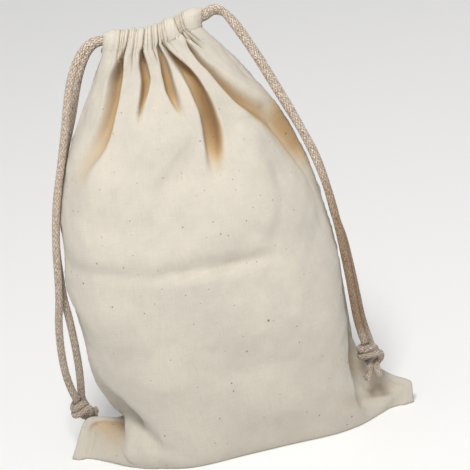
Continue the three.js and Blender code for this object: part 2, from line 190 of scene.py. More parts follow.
class Graph:
    """A node tree that is wired in a few words a node."""

    def __init__(self, tree: bpy.types.NodeTree) -> None:
        """Empties the tree and keeps it.

        Args:
            tree: The node tree to fill.
        """
        self.tree = tree
        tree.nodes.clear()

    def add(self, kind: str, inputs: dict | None = None, **settings: str) -> bpy.types.Node:
        """Adds a node.

        Args:
            kind: The node's type.
            inputs: Sockets to join and values to set, by the input's index or name.
            settings: Properties of the node.

        Returns:
            The new node.
        """
        node = self.tree.nodes.new(kind)
        for name, value in settings.items():
            setattr(node, name, value)
        for key, value in (inputs or {}).items():
            socket = node.inputs[key]
            if isinstance(value, bpy.types.NodeSocket):
                self.tree.links.new(value, socket)
            else:
                socket.default_value = value
        return node

    def first(self, kind: str, inputs: dict | None = None, **settings: str) -> Socket:
        """Adds a node as add does, and returns its first output."""
        return self.add(kind, inputs, **settings).outputs[0]

    def math(self, operation: str, *values: Value) -> Socket:
        """The result of one sum on numbers or sockets, in a shader or a geometry tree."""
        return self.first("ShaderNodeMath", dict(enumerate(values)), operation=operation)

    def times(self, *values: Value) -> Socket:
        """One number times another."""
        return self.math("MULTIPLY", *values)

    def plus(self, *values: Value) -> Socket:
        """One number and another."""
        return self.math("ADD", *values)

    def vector(self, operation: str, *values: Socket | Point) -> Socket:
        """The vector result of one sum on vectors or sockets."""
        return self.first("ShaderNodeVectorMath", dict(enumerate(values)), operation=operation)

    def scaled(self, vector: Socket, by: Value) -> Socket:
        """A vector times a number."""
        return self.first("ShaderNodeVectorMath", {0: vector, "Scale": by}, operation="SCALE")

    def ranged(
        self, value: Socket, low: Value, high: Value, to_low: Value = 0.0, to_high: Value = 1.0,
        **settings: str,
    ) -> Socket:
        """A number moved from one range to another, and kept inside it."""
        ends = {0: value, 1: low, 2: high, 3: to_low, 4: to_high}
        return self.first("ShaderNodeMapRange", ends, **settings)

    def mixed(self, share: Socket, near: Socket | Colour, far: Socket | Colour) -> Socket:
        """A colour between two colours, the second one at a share of 1."""
        return self.add("ShaderNodeMix", {0: share, 6: near, 7: far}, data_type="RGBA").outputs[2]

    def noise(self, place: Socket, scale: float, detail: float = 2.0, roughness: float = 0.5) -> Socket:
        """Soft noise."""
        inputs = {"Vector": place, "Scale": scale, "Detail": detail, "Roughness": roughness}
        return self.first("ShaderNodeTexNoise", inputs)

    def bump(self, height: Socket, strength: float, distance: float) -> Socket:
        """A normal tilted by a height."""
        return self.first("ShaderNodeBump", {"Strength": strength, "Distance": distance, "Height": height})

    def place(self) -> Socket:
        """The place of each point on its object, in metres."""
        return self.add("ShaderNodeTexCoord").outputs["Object"]

    def attribute(self, name: str) -> Socket:
        """A number that the mesh holds, read in a material."""
        return self.add("ShaderNodeAttribute", attribute_name=name).outputs["Fac"]

    def surface(self, inputs: dict) -> None:
        """Ends a material in a principled shader with these inputs."""
        self.add("ShaderNodeOutputMaterial", {0: self.first("ShaderNodeBsdfPrincipled", inputs)})

    def circle(self, corners: int, radius: Value) -> Socket:
        """A round section for a cord, as a curve."""
        return self.first("GeometryNodeCurvePrimitiveCircle", {"Resolution": corners, "Radius": radius})

    def stored(self, geometry: Socket, name: str, value: Socket, kind: str = "FLOAT") -> Socket:
        """Geometry with a value kept on it under a name."""
        inputs = {0: geometry, "Name": name, "Value": value}
        return self.first("GeometryNodeStoreNamedAttribute", inputs, data_type=kind)

    def named(self, name: str, kind: str = "FLOAT_VECTOR") -> Socket:
        """A value that was kept under a name."""
        return self.first("GeometryNodeInputNamedAttribute", {"Name": name}, data_type=kind)

    def dress(self, geometry: Socket, finish: Socket) -> None:
        """Ends a geometry tree: makes its instances real, and sets their material."""
        realized = self.first("GeometryNodeRealizeInstances", {0: geometry})
        dressed = self.first("GeometryNodeSetMaterial", {0: realized, "Material": finish})
        self.add("NodeGroupOutput", {0: dressed})


def new_finish(name: str) -> tuple[bpy.types.Material, Graph]:
    """A new material and its empty graph.

    Args:
        name: The material's name.

    Returns:
        Both of them.
    """
    made = bpy.data.materials.new(name)
    made.use_nodes = True
    return made, Graph(made.node_tree)


def new_tree(name: str, inputs: dict[str, str]) -> Graph:
    """A new geometry tree.

    Args:
        name: The tree's name.
        inputs: The kind of each input, by the input's name.

    Returns:
        The tree's empty graph.
    """
    tree = bpy.data.node_groups.new(name, "GeometryNodeTree")
    for label, kind in inputs.items():
        tree.interface.new_socket(label, in_out="INPUT", socket_type=f"NodeSocket{kind}")
    tree.interface.new_socket("Made", in_out="OUTPUT", socket_type="NodeSocketGeometry")
    return Graph(tree)


@dataclass(frozen=True)
class CordFinish:
    """Braided natural cotton: matt, a little pink, flecked, with painted shade deep between the strands.

    The colour is scaled from low down to high up: painted shade, darker low down and lighter high up.
    The strands low at the right get a painted shadow of the bag, browner and darker, which begins over a
    span across and a span up. The fine yarns of a strand are waves: yarn_turns is their angle once round it,
    and yarn_twist their angle along each metre. Places are in metres, angles in radians.
    """

    name: str = "braided_cotton"
    pale: Colour = (0.82, 0.735, 0.635, 1)
    warm: Colour = (0.66, 0.53, 0.41, 1)
    # The flecks' colour, which also paints the shade in the gaps between the strands
    fleck_and_gap_shade: Colour = (0.22, 0.14, 0.09, 1)
    # Painted shade: the colour scales from darker low down to lighter high up
    height_shade_span: tuple[float, float] = (0.06, 0.24)
    height_shade: tuple[float, float] = (0.78, 1.1)
    # Painted shadow of the bag on the strands low at the right: its tint, and across and up where it begins
    shadow_brown: tuple[float, float, float] = (0.64, 0.52, 0.41)
    shadow_right: tuple[float, float] = (0.097, 0.107)
    shadow_above: tuple[float, float] = (0.066, 0.084)
    yarn_turns: float = 37.7
    yarn_twist: float = 1900.0

    def material(self) -> bpy.types.Material:
        """Builds the material, which reads the strands' own lengths and numbers.

        Returns:
            The finished material.
        """
        made, g = new_finish(self.name)
        place = g.place()
        along, round_strand, strand = (g.attribute(name) for name in ("along", "round", "strand"))
        yarn_place = g.first("ShaderNodeCombineXYZ", {
            0: g.times(along, 420.0), 1: g.times(round_strand, 9.0), 2: strand,
        })
        fibres = g.noise(yarn_place, 1.0, 4.0, 0.6)
        mottle = g.noise(place, 160.0, 3.0)
        flecks = g.noise(place, 700.0)
        own = g.first("ShaderNodeTexWhiteNoise", {"W": strand}, noise_dimensions="1D")
        shade = g.ranged(g.plus(g.times(own, 0.3), g.times(mottle, 0.7)), 0.3, 0.72)
        # Painted shade in the gaps between the strands, mixed with the flecks
        edge = g.math("ABSOLUTE", g.math("SINE", g.times(round_strand, math.tau)))
        gap_shade = g.ranged(edge, 0.55, 1.0, 0.0, 0.8)
        spots = g.math("MAXIMUM", g.ranged(flecks, 0.54, 0.66, 0.0, 0.85), gap_shade)
        flecked_and_gap_shaded = g.mixed(spots, g.mixed(shade, self.pale, self.warm), self.fleck_and_gap_shade)
        x, _, z = g.add("ShaderNodeSeparateXYZ", {0: place}).outputs
        # Painted shade, darker low down and lighter high up
        colour = g.scaled(flecked_and_gap_shaded, g.ranged(z, *self.height_shade_span, *self.height_shade))
        # Painted shadow of the bag, browner and darker, on the strands low at the right
        in_shadow = g.times(g.ranged(x, *self.shadow_right), g.ranged(z, *self.shadow_above))
        shadow_brown = g.vector("MULTIPLY", colour, self.shadow_brown)
        yarn_angle = g.plus(g.times(round_strand, self.yarn_turns), g.times(along, self.yarn_twist))
        relief = g.plus(g.times(g.math("SINE", yarn_angle), 0.3), fibres)
        g.surface({
            "Base Color": g.mixed(in_shadow, colour, shadow_brown), "Roughness": 0.92, "Specular IOR Level": 0.2,
            "Sheen Weight": 0.25, "Sheen Roughness": 0.5,
            "Normal": g.bump(relief, 0.7, 0.4 * MM),
        })
        return made


@dataclass(frozen=True)
class ThreadFinish:
    """Pale sewing thread."""

    name: str = "sewing_thread"
    pale: Colour = (0.80, 0.76, 0.67, 1)
    shade: Colour = (0.60, 0.54, 0.45, 1)

    def material(self) -> bpy.types.Material:
        """Builds the material.

        Returns:
            The finished material.
        """
        made, g = new_finish(self.name)
        fibres = g.noise(g.place(), 2500.0)
        colour = g.mixed(fibres, self.shade, self.pale)
        g.surface({"Base Color": colour, "Roughness": 0.8, "Normal": g.bump(fibres, 0.5, 0.1 * MM)})
        return made


@dataclass(frozen=True)
class ClothFinish:
    """Unbleached plain weave cotton: ecru, matt, with slubs and dark seed specks, and painted warm shade in
    its folds.

    Its colour is darker near the ground, a painted shade, and lighter at the casing's height, a painted
    light.
    Each entry of specks is how many cells a metre has, the share of them that hold a speck, and the speck's
    size. Places are in metres.
    """

    name: str = "unbleached_cotton"
    ecru: Colour = (0.68, 0.63, 0.54, 1)
    grey: Colour = (0.61, 0.57, 0.495, 1)
    # Painted warm light and shade in the folds: the warm tone, then the dark one, and where each comes in
    fold: Colour = (0.56, 0.405, 0.23, 1)
    deep: Colour = (0.33, 0.20, 0.09, 1)
    seed: Colour = (0.16, 0.11, 0.075, 1)
    thread: float = 0.5 * MM
    warm_at: tuple[float, float] = (-0.05, 0.6)
    dark_at: tuple[float, float] = (0.35, 1.0)
    # Painted shade: the colour darkens towards the ground
    ground_shade_height: tuple[float, float] = (0.0, 0.2)
    ground_shade: tuple[float, float] = (0.82, 1.0)
    # Painted light: the colour is lighter at the casing's height
    casing_light_height: tuple[float, float] = (0.345, 0.37)
    casing_light: tuple[float, float] = (1.0, 1.09)
    specks: tuple[tuple[float, float, float], ...] = ((110.0, 0.14, 0.075), (46.0, 0.2, 0.042))

    def weave(self, g: Graph, across: Socket, up: Socket) -> Socket:
        """Height of the plain weave, from 0 between the threads to 1 on top of one.

        Args:
            g: The material's graph.
            across: Place across the flat cloth in metres.
            up: Place up the flat cloth in metres.

        Returns:
            The height's socket.
        """
        sines = [g.math("SINE", g.times(place, math.pi / self.thread)) for place in (across, up)]
        bumps = [g.math("ABSOLUTE", sine) for sine in sines]
        over = g.math("GREATER_THAN", g.times(*sines), 0.0)
        warp = g.times(g.math("POWER", bumps[0], 0.9), g.math("POWER", bumps[1], 0.35))
        weft = g.times(g.math("POWER", bumps[0], 0.35), g.math("POWER", bumps[1], 0.9))
        return g.first("ShaderNodeMix", {0: over, 2: warp, 3: weft})

    def speck_layer(self, g: Graph, flat: Socket, cells: float, share: float, size: float) -> Socket:
        """How strongly each place is coloured by one layer of seed specks, from 0 to 1.

        Args:
            g: The material's graph.
            flat: Place on the flat cloth in metres.
            cells: How many cells a metre has, each of which may hold a speck.
            share: The share of the cells that hold one.
            size: The specks' size, as a share of a cell.

        Returns:
            The strength's socket.
        """
        found = g.add("ShaderNodeTexVoronoi", {"Vector": flat, "Scale": cells}, voronoi_dimensions="2D")
        drawn = g.add("ShaderNodeSeparateColor", {0: found.outputs["Color"]}).outputs
        radius = g.times(g.plus(drawn[1], 0.35), size)
        strength = g.plus(g.times(drawn[2], 0.6), 0.35)
        soft = g.ranged(found.outputs["Distance"], radius, g.times(radius, 0.5), 0.0, strength)
        return g.times(soft, g.math("LESS_THAN", drawn[0], share))

    def material(self) -> bpy.types.Material:
        """Builds the material, which reads the panel's flat UV map and its fold attribute of painted warm
        light and shade.

        Returns:
            The finished material.
        """
        made, g = new_finish(self.name)
        flat = g.first("ShaderNodeUVMap", uv_map="flat")
        wander = g.add("ShaderNodeTexNoise", {"Vector": flat, "Scale": 260.0, "Detail": 2.0}).outputs[1]
        moved = g.vector("ADD", flat, g.scaled(g.vector("SUBTRACT", wander, (0.5,) * 3), 0.0006))
        across, up, _ = g.add("ShaderNodeSeparateXYZ", {0: moved}).outputs

        streaks = [
            g.noise(g.vector("MULTIPLY", flat, stretch), 1.0)
            for stretch in ((1000.0, 85.0, 1.0), (75.0, 1050.0, 1.0))
        ]
        slub = g.math("MAXIMUM", *(g.ranged(noise, 0.56, 0.8) for noise in streaks))
        streak = g.ranged(g.plus(*streaks), 0.75, 1.25, 0.955, 1.035)

        mottle = g.noise(flat, 22.0, 5.0, 0.65)
        colour = g.mixed(g.ranged(mottle, 0.35, 0.68), self.ecru, self.grey)
        # Painted warm light and shade, deepest in the folds
        fold = g.attribute("fold")
        for ends, tone in ((self.warm_at, self.fold), (self.dark_at, self.deep)):
            colour = g.mixed(g.ranged(fold, *ends, interpolation_type="SMOOTHSTEP"), colour, tone)
        specks = g.math("MAXIMUM", *(self.speck_layer(g, moved, *layer) for layer in self.specks))
        colour = g.mixed(specks, colour, self.seed)
        height = g.add("ShaderNodeSeparateXYZ", {0: g.place()}).outputs[2]
        # Painted shade, darker towards the ground
        ground_shade = g.ranged(height, *self.ground_shade_height, *self.ground_shade)
        # Painted light at the casing's height
        casing_light = g.ranged(height, *self.casing_light_height, *self.casing_light)
        relief = g.plus(g.times(self.weave(g, across, up), 0.8), slub)
        g.surface({
            "Base Color": g.scaled(colour, g.times(streak, g.times(ground_shade, casing_light))), "Roughness": 0.95,
            "Specular IOR Level": 0.15, "Sheen Weight": 0.15, "Sheen Roughness": 0.6,
            "Normal": g.bump(relief, 0.5, 0.18 * MM),
        })
        return made


def placed(name: str, data: bpy.types.ID) -> bpy.types.Object:
    """A new object of some data, at the origin of the scene."""
    made = bpy.data.objects.new(name, data)
    bpy.context.scene.collection.objects.link(made)
    return made


def mesh_object(
    name: str, points: np.ndarray, faces: np.ndarray | list, material: bpy.types.Material,
) -> bpy.types.Object:
    """A smooth mesh object at the origin.

    Args:
        name: The object's name.
        points: The vertices, in metres.
        faces: The corners of each face.
        material: Its material.

    Returns:
        The new object, in the scene.
    """
    mesh = bpy.data.meshes.new(name)
    mesh.from_pydata(points.tolist(), [], faces.tolist() if isinstance(faces, np.ndarray) else faces)
    mesh.polygons.foreach_set("use_smooth", np.ones(len(mesh.polygons), bool))
    mesh.materials.append(material)
    return placed(name, mesh)


@dataclass(frozen=True)
class Lamp:
    """A square soft lamp that faces the bag. Its place and side in metres, its power in watts."""

    name: str
    place: Point
    side: float
    power: float
    colour: Colour
    aim: Point = (0, 0, 0.18)

    def build(self) -> None:
        """Hangs the lamp."""
        data = bpy.data.lights.new(self.name, "AREA")
        data.size = self.side
        data.energy = self.power
        data.color = self.colour
        made = placed(self.name, data)
        made.location = self.place
        made.rotation_mode = "QUATERNION"
        made.rotation_quaternion = (Vector(self.aim) - Vector(self.place)).to_track_quat("-Z", "Y")


@dataclass
class Studio:
    """The camera at the photograph's angle, a pale floor and soft light.

    Sizes are in metres, apart from the lens and the sensor in millimetres, and angles in degrees.
    """

    lens: float = 200.0
    sensor: float = 36
    distance: float = 2.214
    elevation: float = 19.8
    roll: float = -9.2
    aim: Point = (0.020, 0.0, 0.1765)
    floor_size: float = 12.0
    floor_colour: Colour = (0.93, 0.93, 0.93, 1)
    lamps: tuple[Lamp, ...] = (
        Lamp("key", (-0.3, -2.5, 3.9), 1.3, 163.0, (1.0, 0.985, 0.96)),
        Lamp("fill", (2.0, -1.6, 0.9), 1.8, 2.0, (0.96, 0.98, 1.0)),
    )
    surround: Colour = (0.99, 0.99, 1.0, 1)
    surround_strength: float = 0.40

    def camera(self) -> None:
        """Makes the camera, turned about its own axis as the photograph is."""
        data = bpy.data.cameras.new("camera")
        data.lens = self.lens
        data.sensor_width = self.sensor
        data.clip_start = 0.05
        data.clip_end = 60
        made = placed("camera", data)
        tilt = math.radians(self.elevation)
        back = Vector((0, -math.cos(tilt), math.sin(tilt)))
        made.location = Vector(self.aim) + back * self.distance
        turn = (-back).to_track_quat("-Z", "Y")
        made.rotation_mode = "QUATERNION"
        made.rotation_quaternion = turn @ Quaternion((0, 0, 1), math.radians(self.roll))
        bpy.context.scene.camera = made

    def light(self) -> None:
        """Lights the scene: a bright soft key from high in front, a faint fill and an even surround."""
        for lamp in self.lamps:
            lamp.build()
        world = bpy.data.worlds.new("surround")
        world.use_nodes = True
        g = Graph(world.node_tree)
        shade = g.first("ShaderNodeBackground", {0: self.surround, 1: self.surround_strength})
        g.add("ShaderNodeOutputWorld", {0: shade})
        bpy.context.scene.world = world
        bpy.context.scene.view_settings.view_transform = "Standard"

    def floor(self) -> None:
        """Lays the floor."""
        made, g = new_finish("pale_floor")
        g.surface({"Base Color": self.floor_colour, "Roughness": 0.9})
        half = self.floor_size / 2
        corners = np.array([(-half, -half, 0), (half, -half, 0), (half, half, 0), (-half, half, 0)])
        mesh_object("floor", corners, [(0, 1, 2, 3)], made)


def poly_curve(name: str, lines: list[np.ndarray]) -> bpy.types.Object:
    """A curve object of straight stretches.

    Args:
        name: The object's name.
        lines: The points of each spline, in metres.

    Returns:
        The new object, in the scene.
    """
    curve = bpy.data.curves.new(name, "CURVE")
    curve.dimensions = "3D"
    curve.twist_mode = "MINIMUM"
    for line in lines:
        spline = curve.splines.new("POLY")
        spline.points.add(len(line) - 1)
        spline.points.foreach_set("co", np.hstack([line, np.ones((len(line), 1))]).ravel())
    return placed(name, curve)


def curve_through(points: np.ndarray, steps: int = 10) -> np.ndarray:
    """A smooth line through given points, with even speed by the square root of their spacing.

    Args:
        points: The points, in order.
        steps: How many points of the line each stretch gets.

    Returns:
        The line's points.
    """
    padded = np.vstack([2 * points[0] - points[1], points, 2 * points[-1] - points[-2]])
    line = []
    for a, b, c, d in zip(padded, padded[1:], padded[2:], padded[3:]):
        before, here, after = (np.linalg.norm(q - p) ** 0.5 for p, q in ((a, b), (b, c), (c, d)))
        start = ((b - a) / before - (c - a) / (before + here) + (c - b) / here) * here
        end = ((c - b) / here - (d - b) / (here + after) + (d - c) / after) * here
        t = np.linspace(0, 1, steps, endpoint=False)[:, None]
        bend = (3 * (c - b) - 2 * start - end) * t**2
        line.append(b + start * t + bend + (2 * (b - c) + start + end) * t**3)
    return np.vstack([*line, points[-1:]])


def applied(source: bpy.types.Object, tree: bpy.types.NodeTree, sizes: dict, name: str) -> bpy.types.Object:
    """Runs a node tree on an object and keeps what it makes as a plain mesh.

    Args:
        source: The object that the tree reads, which is then removed.
        tree: The geometry node tree.
        sizes: Its inputs, by name.
        name: The new object's name.

    Returns:
        The new object, in the scene.
    """
    modifier = source.modifiers.new("build", "NODES")
    modifier.node_group = tree
    for item in tree.interface.items_tree:
        if item.item_type == "SOCKET" and item.in_out == "INPUT" and item.name in sizes:
            modifier[item.identifier] = sizes[item.name]
    evaluated = source.evaluated_get(bpy.context.evaluated_depsgraph_get())
    mesh = bpy.data.meshes.new_from_object(evaluated)
    mesh.name = name
    source.modifiers.clear()
    bpy.data.objects.remove(source)
    return placed(name, mesh)


@dataclass
class Braid:
    """A round braid of flat strands, half of them turning each way, over a soft core. Sizes in metres.

    carriers is how many strands turn each way, and lead is how far along the cord a strand gets in one turn.
    """

    finish: bpy.types.Material
    radius: float = 3.5 * MM
    carriers: int = 8
    lead: float = 38 * MM
    strand_width: float = 2.4 * MM
    strand_thickness: float = 1.0 * MM
    weave_depth: float = 0.42 * MM
    step: float = 1.1 * MM
    core_share: float = 0.62
    strand_corners: int = 7
    core_corners: int = 8
    tree: bpy.types.NodeTree = field(init=False)

    def __post_init__(self) -> None:
        """Makes the braid's node tree."""
        sizes = ("Radius", "Lead", "Strand Width", "Strand Thickness", "Weave Depth", "Step")
        kinds = {"Carriers": "Int", "Finish": "Material"}
        g = new_tree("braid", {"Route": "Geometry", **dict.fromkeys(sizes, "Float"), **kinds})
        self.tree = g.tree
        given = g.add("NodeGroupInput").outputs
        inputs = {"Curve": given["Route"], "Length": given["Step"]}
        route = g.first("GeometryNodeResampleCurve", inputs, mode="LENGTH")
        joined = g.add("GeometryNodeJoinGeometry", {0: self.woven(g, given, route)})
        core_size = g.times(given["Radius"], self.core_share)
        ring = g.circle(self.core_corners, core_size)
        core = g.first("GeometryNodeCurveToMesh", {0: route, 1: ring, "Fill Caps": True})
        g.tree.links.new(core, joined.inputs[0])
        kept = g.first("GeometryNodeSetShadeSmooth", {0: joined.outputs[0]})
        for name in ("radial", "place"):
            kept = g.first("GeometryNodeRemoveAttribute", {0: kept, "Name": name})
        g.dress(kept, given["Finish"])

    def woven(self, g: Graph, given: bpy.types.bpy_prop_collection, route: Socket) -> Socket:
        """The braid's strands round a route.

        Args:
            g: The tree's graph.
            given: The tree's inputs.
            route: The cord's middle line.

        Returns:
            The strands' mesh, with the length along the cord, the strand's number and the place round it.
        """
        count = g.times(given["Carriers"], 2)
        copies = g.add("GeometryNodeDuplicateElements", {0: route, "Amount": count}, domain="SPLINE")
        index = copies.outputs[1]
        way = g.math("SUBTRACT", g.times(g.math("MODULO", index, 2), 2), 1)
        number = g.math("FLOOR", g.math("DIVIDE", index, 2))
        along = g.add("GeometryNodeSplineParameter").outputs["Length"]
        turn = g.times(g.math("DIVIDE", along, given["Lead"]), math.tau)
        start = g.times(g.math("DIVIDE", number, given["Carriers"]), math.tau)
        angle = g.plus(start, g.times(turn, way))
        lift = g.times(g.math("COSINE", g.times(turn, given["Carriers"])), way)
        rest = g.math("SUBTRACT", given["Radius"], g.times(given["Strand Thickness"], 0.5))
        out = g.plus(g.math("SUBTRACT", rest, given["Weave Depth"]), g.times(lift, given["Weave Depth"]))
        normal = g.first("GeometryNodeInputNormal")
        side = g.vector("CROSS_PRODUCT", g.first("GeometryNodeInputTangent"), normal)
        parts = (g.scaled(normal, g.math("COSINE", angle)), g.scaled(side, g.math("SINE", angle)))
        radial = g.vector("ADD", *parts)
        kept = g.stored(copies.outputs[0], "radial", radial, "FLOAT_VECTOR")
        kept = g.stored(g.stored(kept, "along", along), "strand", index)
        kept = g.stored(kept, "place", g.scaled(radial, out), "FLOAT_VECTOR")
        strands = g.first("GeometryNodeSetPosition", {0: kept, "Offset": g.named("place")})
        turned = g.first("GeometryNodeSetCurveNormal", {0: strands, "Normal": g.named("radial")}, mode="FREE")
        round_place = g.add("GeometryNodeSplineParameter").outputs["Factor"]
        circle = g.stored(g.circle(self.strand_corners, 0.5), "round", round_place)
        thickness, width = given["Strand Thickness"], given["Strand Width"]
        oval = g.first("ShaderNodeCombineXYZ", {0: thickness, 1: width, 2: 1.0})
        section = g.first("GeometryNodeTransform", {"Geometry": circle, "Scale": oval})
        return g.first("GeometryNodeCurveToMesh", {0: turned, 1: section, "Fill Caps": True})

    def along(self, name: str, lines: list[np.ndarray], scale: float = 1.0) -> bpy.types.Object:
        """Braids cord along lines.

        Args:
            name: The new object's name.
            lines: The middle lines of one cord or several, in metres.
            scale: How thick the cord is drawn, as a share of its usual size.

        Returns:
            One plain mesh object.
        """
        usual = {
            "Radius": self.radius, "Lead": self.lead, "Strand Width": self.strand_width,
            "Strand Thickness": self.strand_thickness, "Weave Depth": self.weave_depth,
        }
        sizes = {label: size * scale for label, size in usual.items()}
        sizes |= {"Step": self.step, "Carriers": self.carriers, "Finish": self.finish}
        return applied(poly_curve(name + "_route", lines), self.tree, sizes, name)


# The cords' routes, in millimetres, one point after another from the end of a casing to the knot
LEFT_FRONT = [
    (-59.9, -10.4, 366.4), (-66, -10.5, 367), (-72.4, -10.8, 365.4), (-78.8, -11.2, 360.8),
    (-84.8, -11.8, 353.4), (-90.4, -12, 343.6), (-95.6, -11.6, 330.6), (-100.5, -11, 314), (-106, -10, 293),
    (-113, -9, 268), (-121, -8, 240), (-127.5, -7, 212), (-131.5, -6, 186), (-134, -5.8, 163),
    (-136.5, -5.5, 145), (-140.5, -5, 124), (-142.8, -4.4, 99), (-142.6, -3.8, 77), (-140.4, -2.2, 61.4),
    (-138, 0.6, 50.8),
]
LEFT_BACK = [
    (-59.8, 10.5, 358.8), (-65.6, 10.5, 359.2), (-71, 10.4, 357.2), (-76.4, 10, 352.4), (-81.6, 9.4, 344.6),
    (-86.8, 8.6, 334), (-92, 7.4, 320), (-98, 6.4, 302), (-106.8, 5.2, 279), (-116.2, 3.6, 255),
    (-123.8, 2.4, 230), (-129, 1.8, 204), (-131.4, 1.6, 186), (-132.4, 1.7, 163), (-132.8, 1.8, 145),
    (-131.5, 2.4, 124), (-130.8, 3, 99), (-131.2, 3.8, 77), (-132.4, 5, 61.4), (-133.6, 6.2, 50.9),
]
RIGHT_FRONT = [
    (18.6, -10.3, 373.1), (24.5, -10.6, 375), (30.8, -11.4, 378.4), (36.4, -12, 377), (41.8, -12.6, 371.4),
    (46.8, -13, 362), (53.3, -13.4, 349), (61.4, -13.6, 331), (70.3, -13.6, 309), (79.6, -13.4, 286),
    (89.2, -13, 262), (97, -12.4, 236), (102.4, -12, 212), (105.6, -12, 190), (107.6, -12, 168),
    (109, -12, 146), (110.2, -12, 124), (110.8, -12.6, 104), (111.6, -14, 88), (113.4, -16, 75),
    (115.2, -17.6, 67.2),
]
RIGHT_BACK = [
    (18.4, 10.1, 365.2), (24.6, 9.9, 366.8), (31.8, 9.8, 370.2), (38.4, 8.8, 369), (44.6, 7.8, 363.4),
    (50.6, 6.8, 353.8), (57.2, 5.4, 340.4), (65.2, 3.8, 322.6), (73.8, 2, 301.4), (82.2, 0, 280.6),
    (90.6, -2.2, 257.5), (96.7, -3.8, 240), (101.3, -4.4, 219), (104, -4.5, 200), (106.4, -4.5, 180),
    (110.4, -4.5, 160), (112.2, -4.6, 142), (113.6, -4.8, 124), (114.8, -5.8, 104), (115.8, -7.6, 88),
    (117.8, -9.6, 75), (119.4, -10.7, 67.2),
]
# Inside the casings, at the back, before the neck leans; the front half mirrors it, and the turn joins them
LEFT_RUN = [
    (-59, 10.4, 366), (-48, 10.5, 364.4), (-34, 9.8, 362.6), (-20, 9.5, 360.8), (-6, 9.5, 360.4),
    (6, 9.1, 363), (12, 8.8, 364.1), (15.6, 5, 365),
]
LEFT_RUN_TURN = (17, 0, 366.2)
RIGHT_RUN = [
    (17, 10.3, 372.8), (8, 11.8, 372.2), (-2, 13.4, 369.1), (-12, 16.7, 365.5), (-22, 17.8, 361),
    (-34, 16.8, 355.5), (-45, 12.9, 355.2), (-52, 11, 356.8), (-57.6, 8.8, 357.4), (-60.6, 4.8, 357.8),
]
RIGHT_RUN_TURN = (-61.6, 0, 358)


@dataclass
class Knot:
    """An overhand knot tied in both strands of a drawcord at once.

    Each of its turns holds a point of the pair's middle line, from the top of the knot on, and half of the
    way from one strand to the other there, in millimetres from the knot's centre. tails holds the points of
    the two free ends, and draw says how thick the cord is drawn, as a share of its usual size.
    """

    at: Point
    turns: list[tuple[float, ...]]
    tails: list[list[Point]]
    draw: float
    steps: int = 8

    def lines(self) -> list[np.ndarray]:
        """The middle lines of the knot's two strands with their tails, in metres.

        Returns:
            The points of each line.
        """
        rows = np.array(self.turns, float)
        made = []
        for sign, tail in zip((1, -1), self.tails):
            points = np.vstack([rows[:, :3] + sign * rows[:, 3:], np.array(tail, float)])
            made.append((curve_through(points, self.steps) + np.array(self.at)) * MM)
        return made

    def build(self, name: str, braid: Braid) -> bpy.types.Object:
        """Braids the knot.

        Args:
            name: The piece's name.
            braid: The cord's braid.

        Returns:
            The knot's mesh object.
        """
        return braid.along(name, self.lines(), self.draw)


@dataclass
class Drawcord:
    """One drawcord: the run inside the casings, its two free strands and the knot that ties them.

    run is the back half of the route inside the casings, which the front half mirrors, and turn joins them.
    """

    side: str
    strands: dict[str, list[Point]]
    run: list[Point]
    turn: Point
    knot: Knot
    diameter: float = 7 * MM

    def build(self, braid: Braid) -> None:
        """Makes the drawcord's pieces and says what each is.

        Args:
            braid: The cord's braid.
        """
        front = [(x, -y, z) for x, y, z in self.run]
        inside = leaned(np.array([*front, self.turn, *self.run[::-1]], float))
        run = braid.along(f"{self.side}_cord_in_casing", [curve_through(inside) * MM])
        knot = self.knot.build(f"{self.side}_knot", braid)
        declare(run, f"cord_{self.side}_run")
        declare(knot, f"knot_{self.side}")
        for end, points in self.strands.items():
            line = curve_through(np.array(points, float)) * MM
            strand = braid.along(f"{self.side}_strand_{end}", [line])
            declare(strand, f"cord_{self.side}_{end}")


LEFT_DRAWCORD = Drawcord(
    "left", {"a": LEFT_FRONT, "b": LEFT_BACK}, LEFT_RUN, LEFT_RUN_TURN,
    Knot(
        (-135.4, 5, 40.4),
        [
            (-0.5, -1.6, 10.4, -2.3, -2.8, 0), (0.2, -0.4, 6, -2.4, -1.8, 0), (-0.6, 1.2, 0.5, -2.5, 0.4, 0),
            (-0.6, 2.2, -5.2, -1.8, 0.8, -0.8), (2.6, 1.4, -8, 0.2, 0.8, -2.3),
            (5.8, -1.4, -3.6, 1.6, 0, -1.8), (4.8, -5.4, 3.2, 1.6, -0.6, -2.4),
            (-0.4, -7.2, 1.6, 0.6, 0, -2.9), (-5.4, -4.8, -1.4, 0, 0, -2.9), (-6.8, 0, -1.6, 0, 0, -2.8),
            (-4.6, 5.4, 0.4, 0, 0, -2.6), (1.0, 6.6, 1.2, 0, 0.6, -2.4), (4.2, 4.2, -1.4, 0, 1.4, -2.0),
            (5.0, 1.6, -3.8, 0.6, 1.8, -1.4),
        ],
        [
            [(7.6, 3.2, -5.6), (10.4, 4.6, -6.6), (12.6, 5.6, -6.4)],
            [(6.8, 0.6, -7.8), (9.2, 2.2, -9.4), (11.2, 3.6, -10)],
        ],
        0.9,
    ),
)
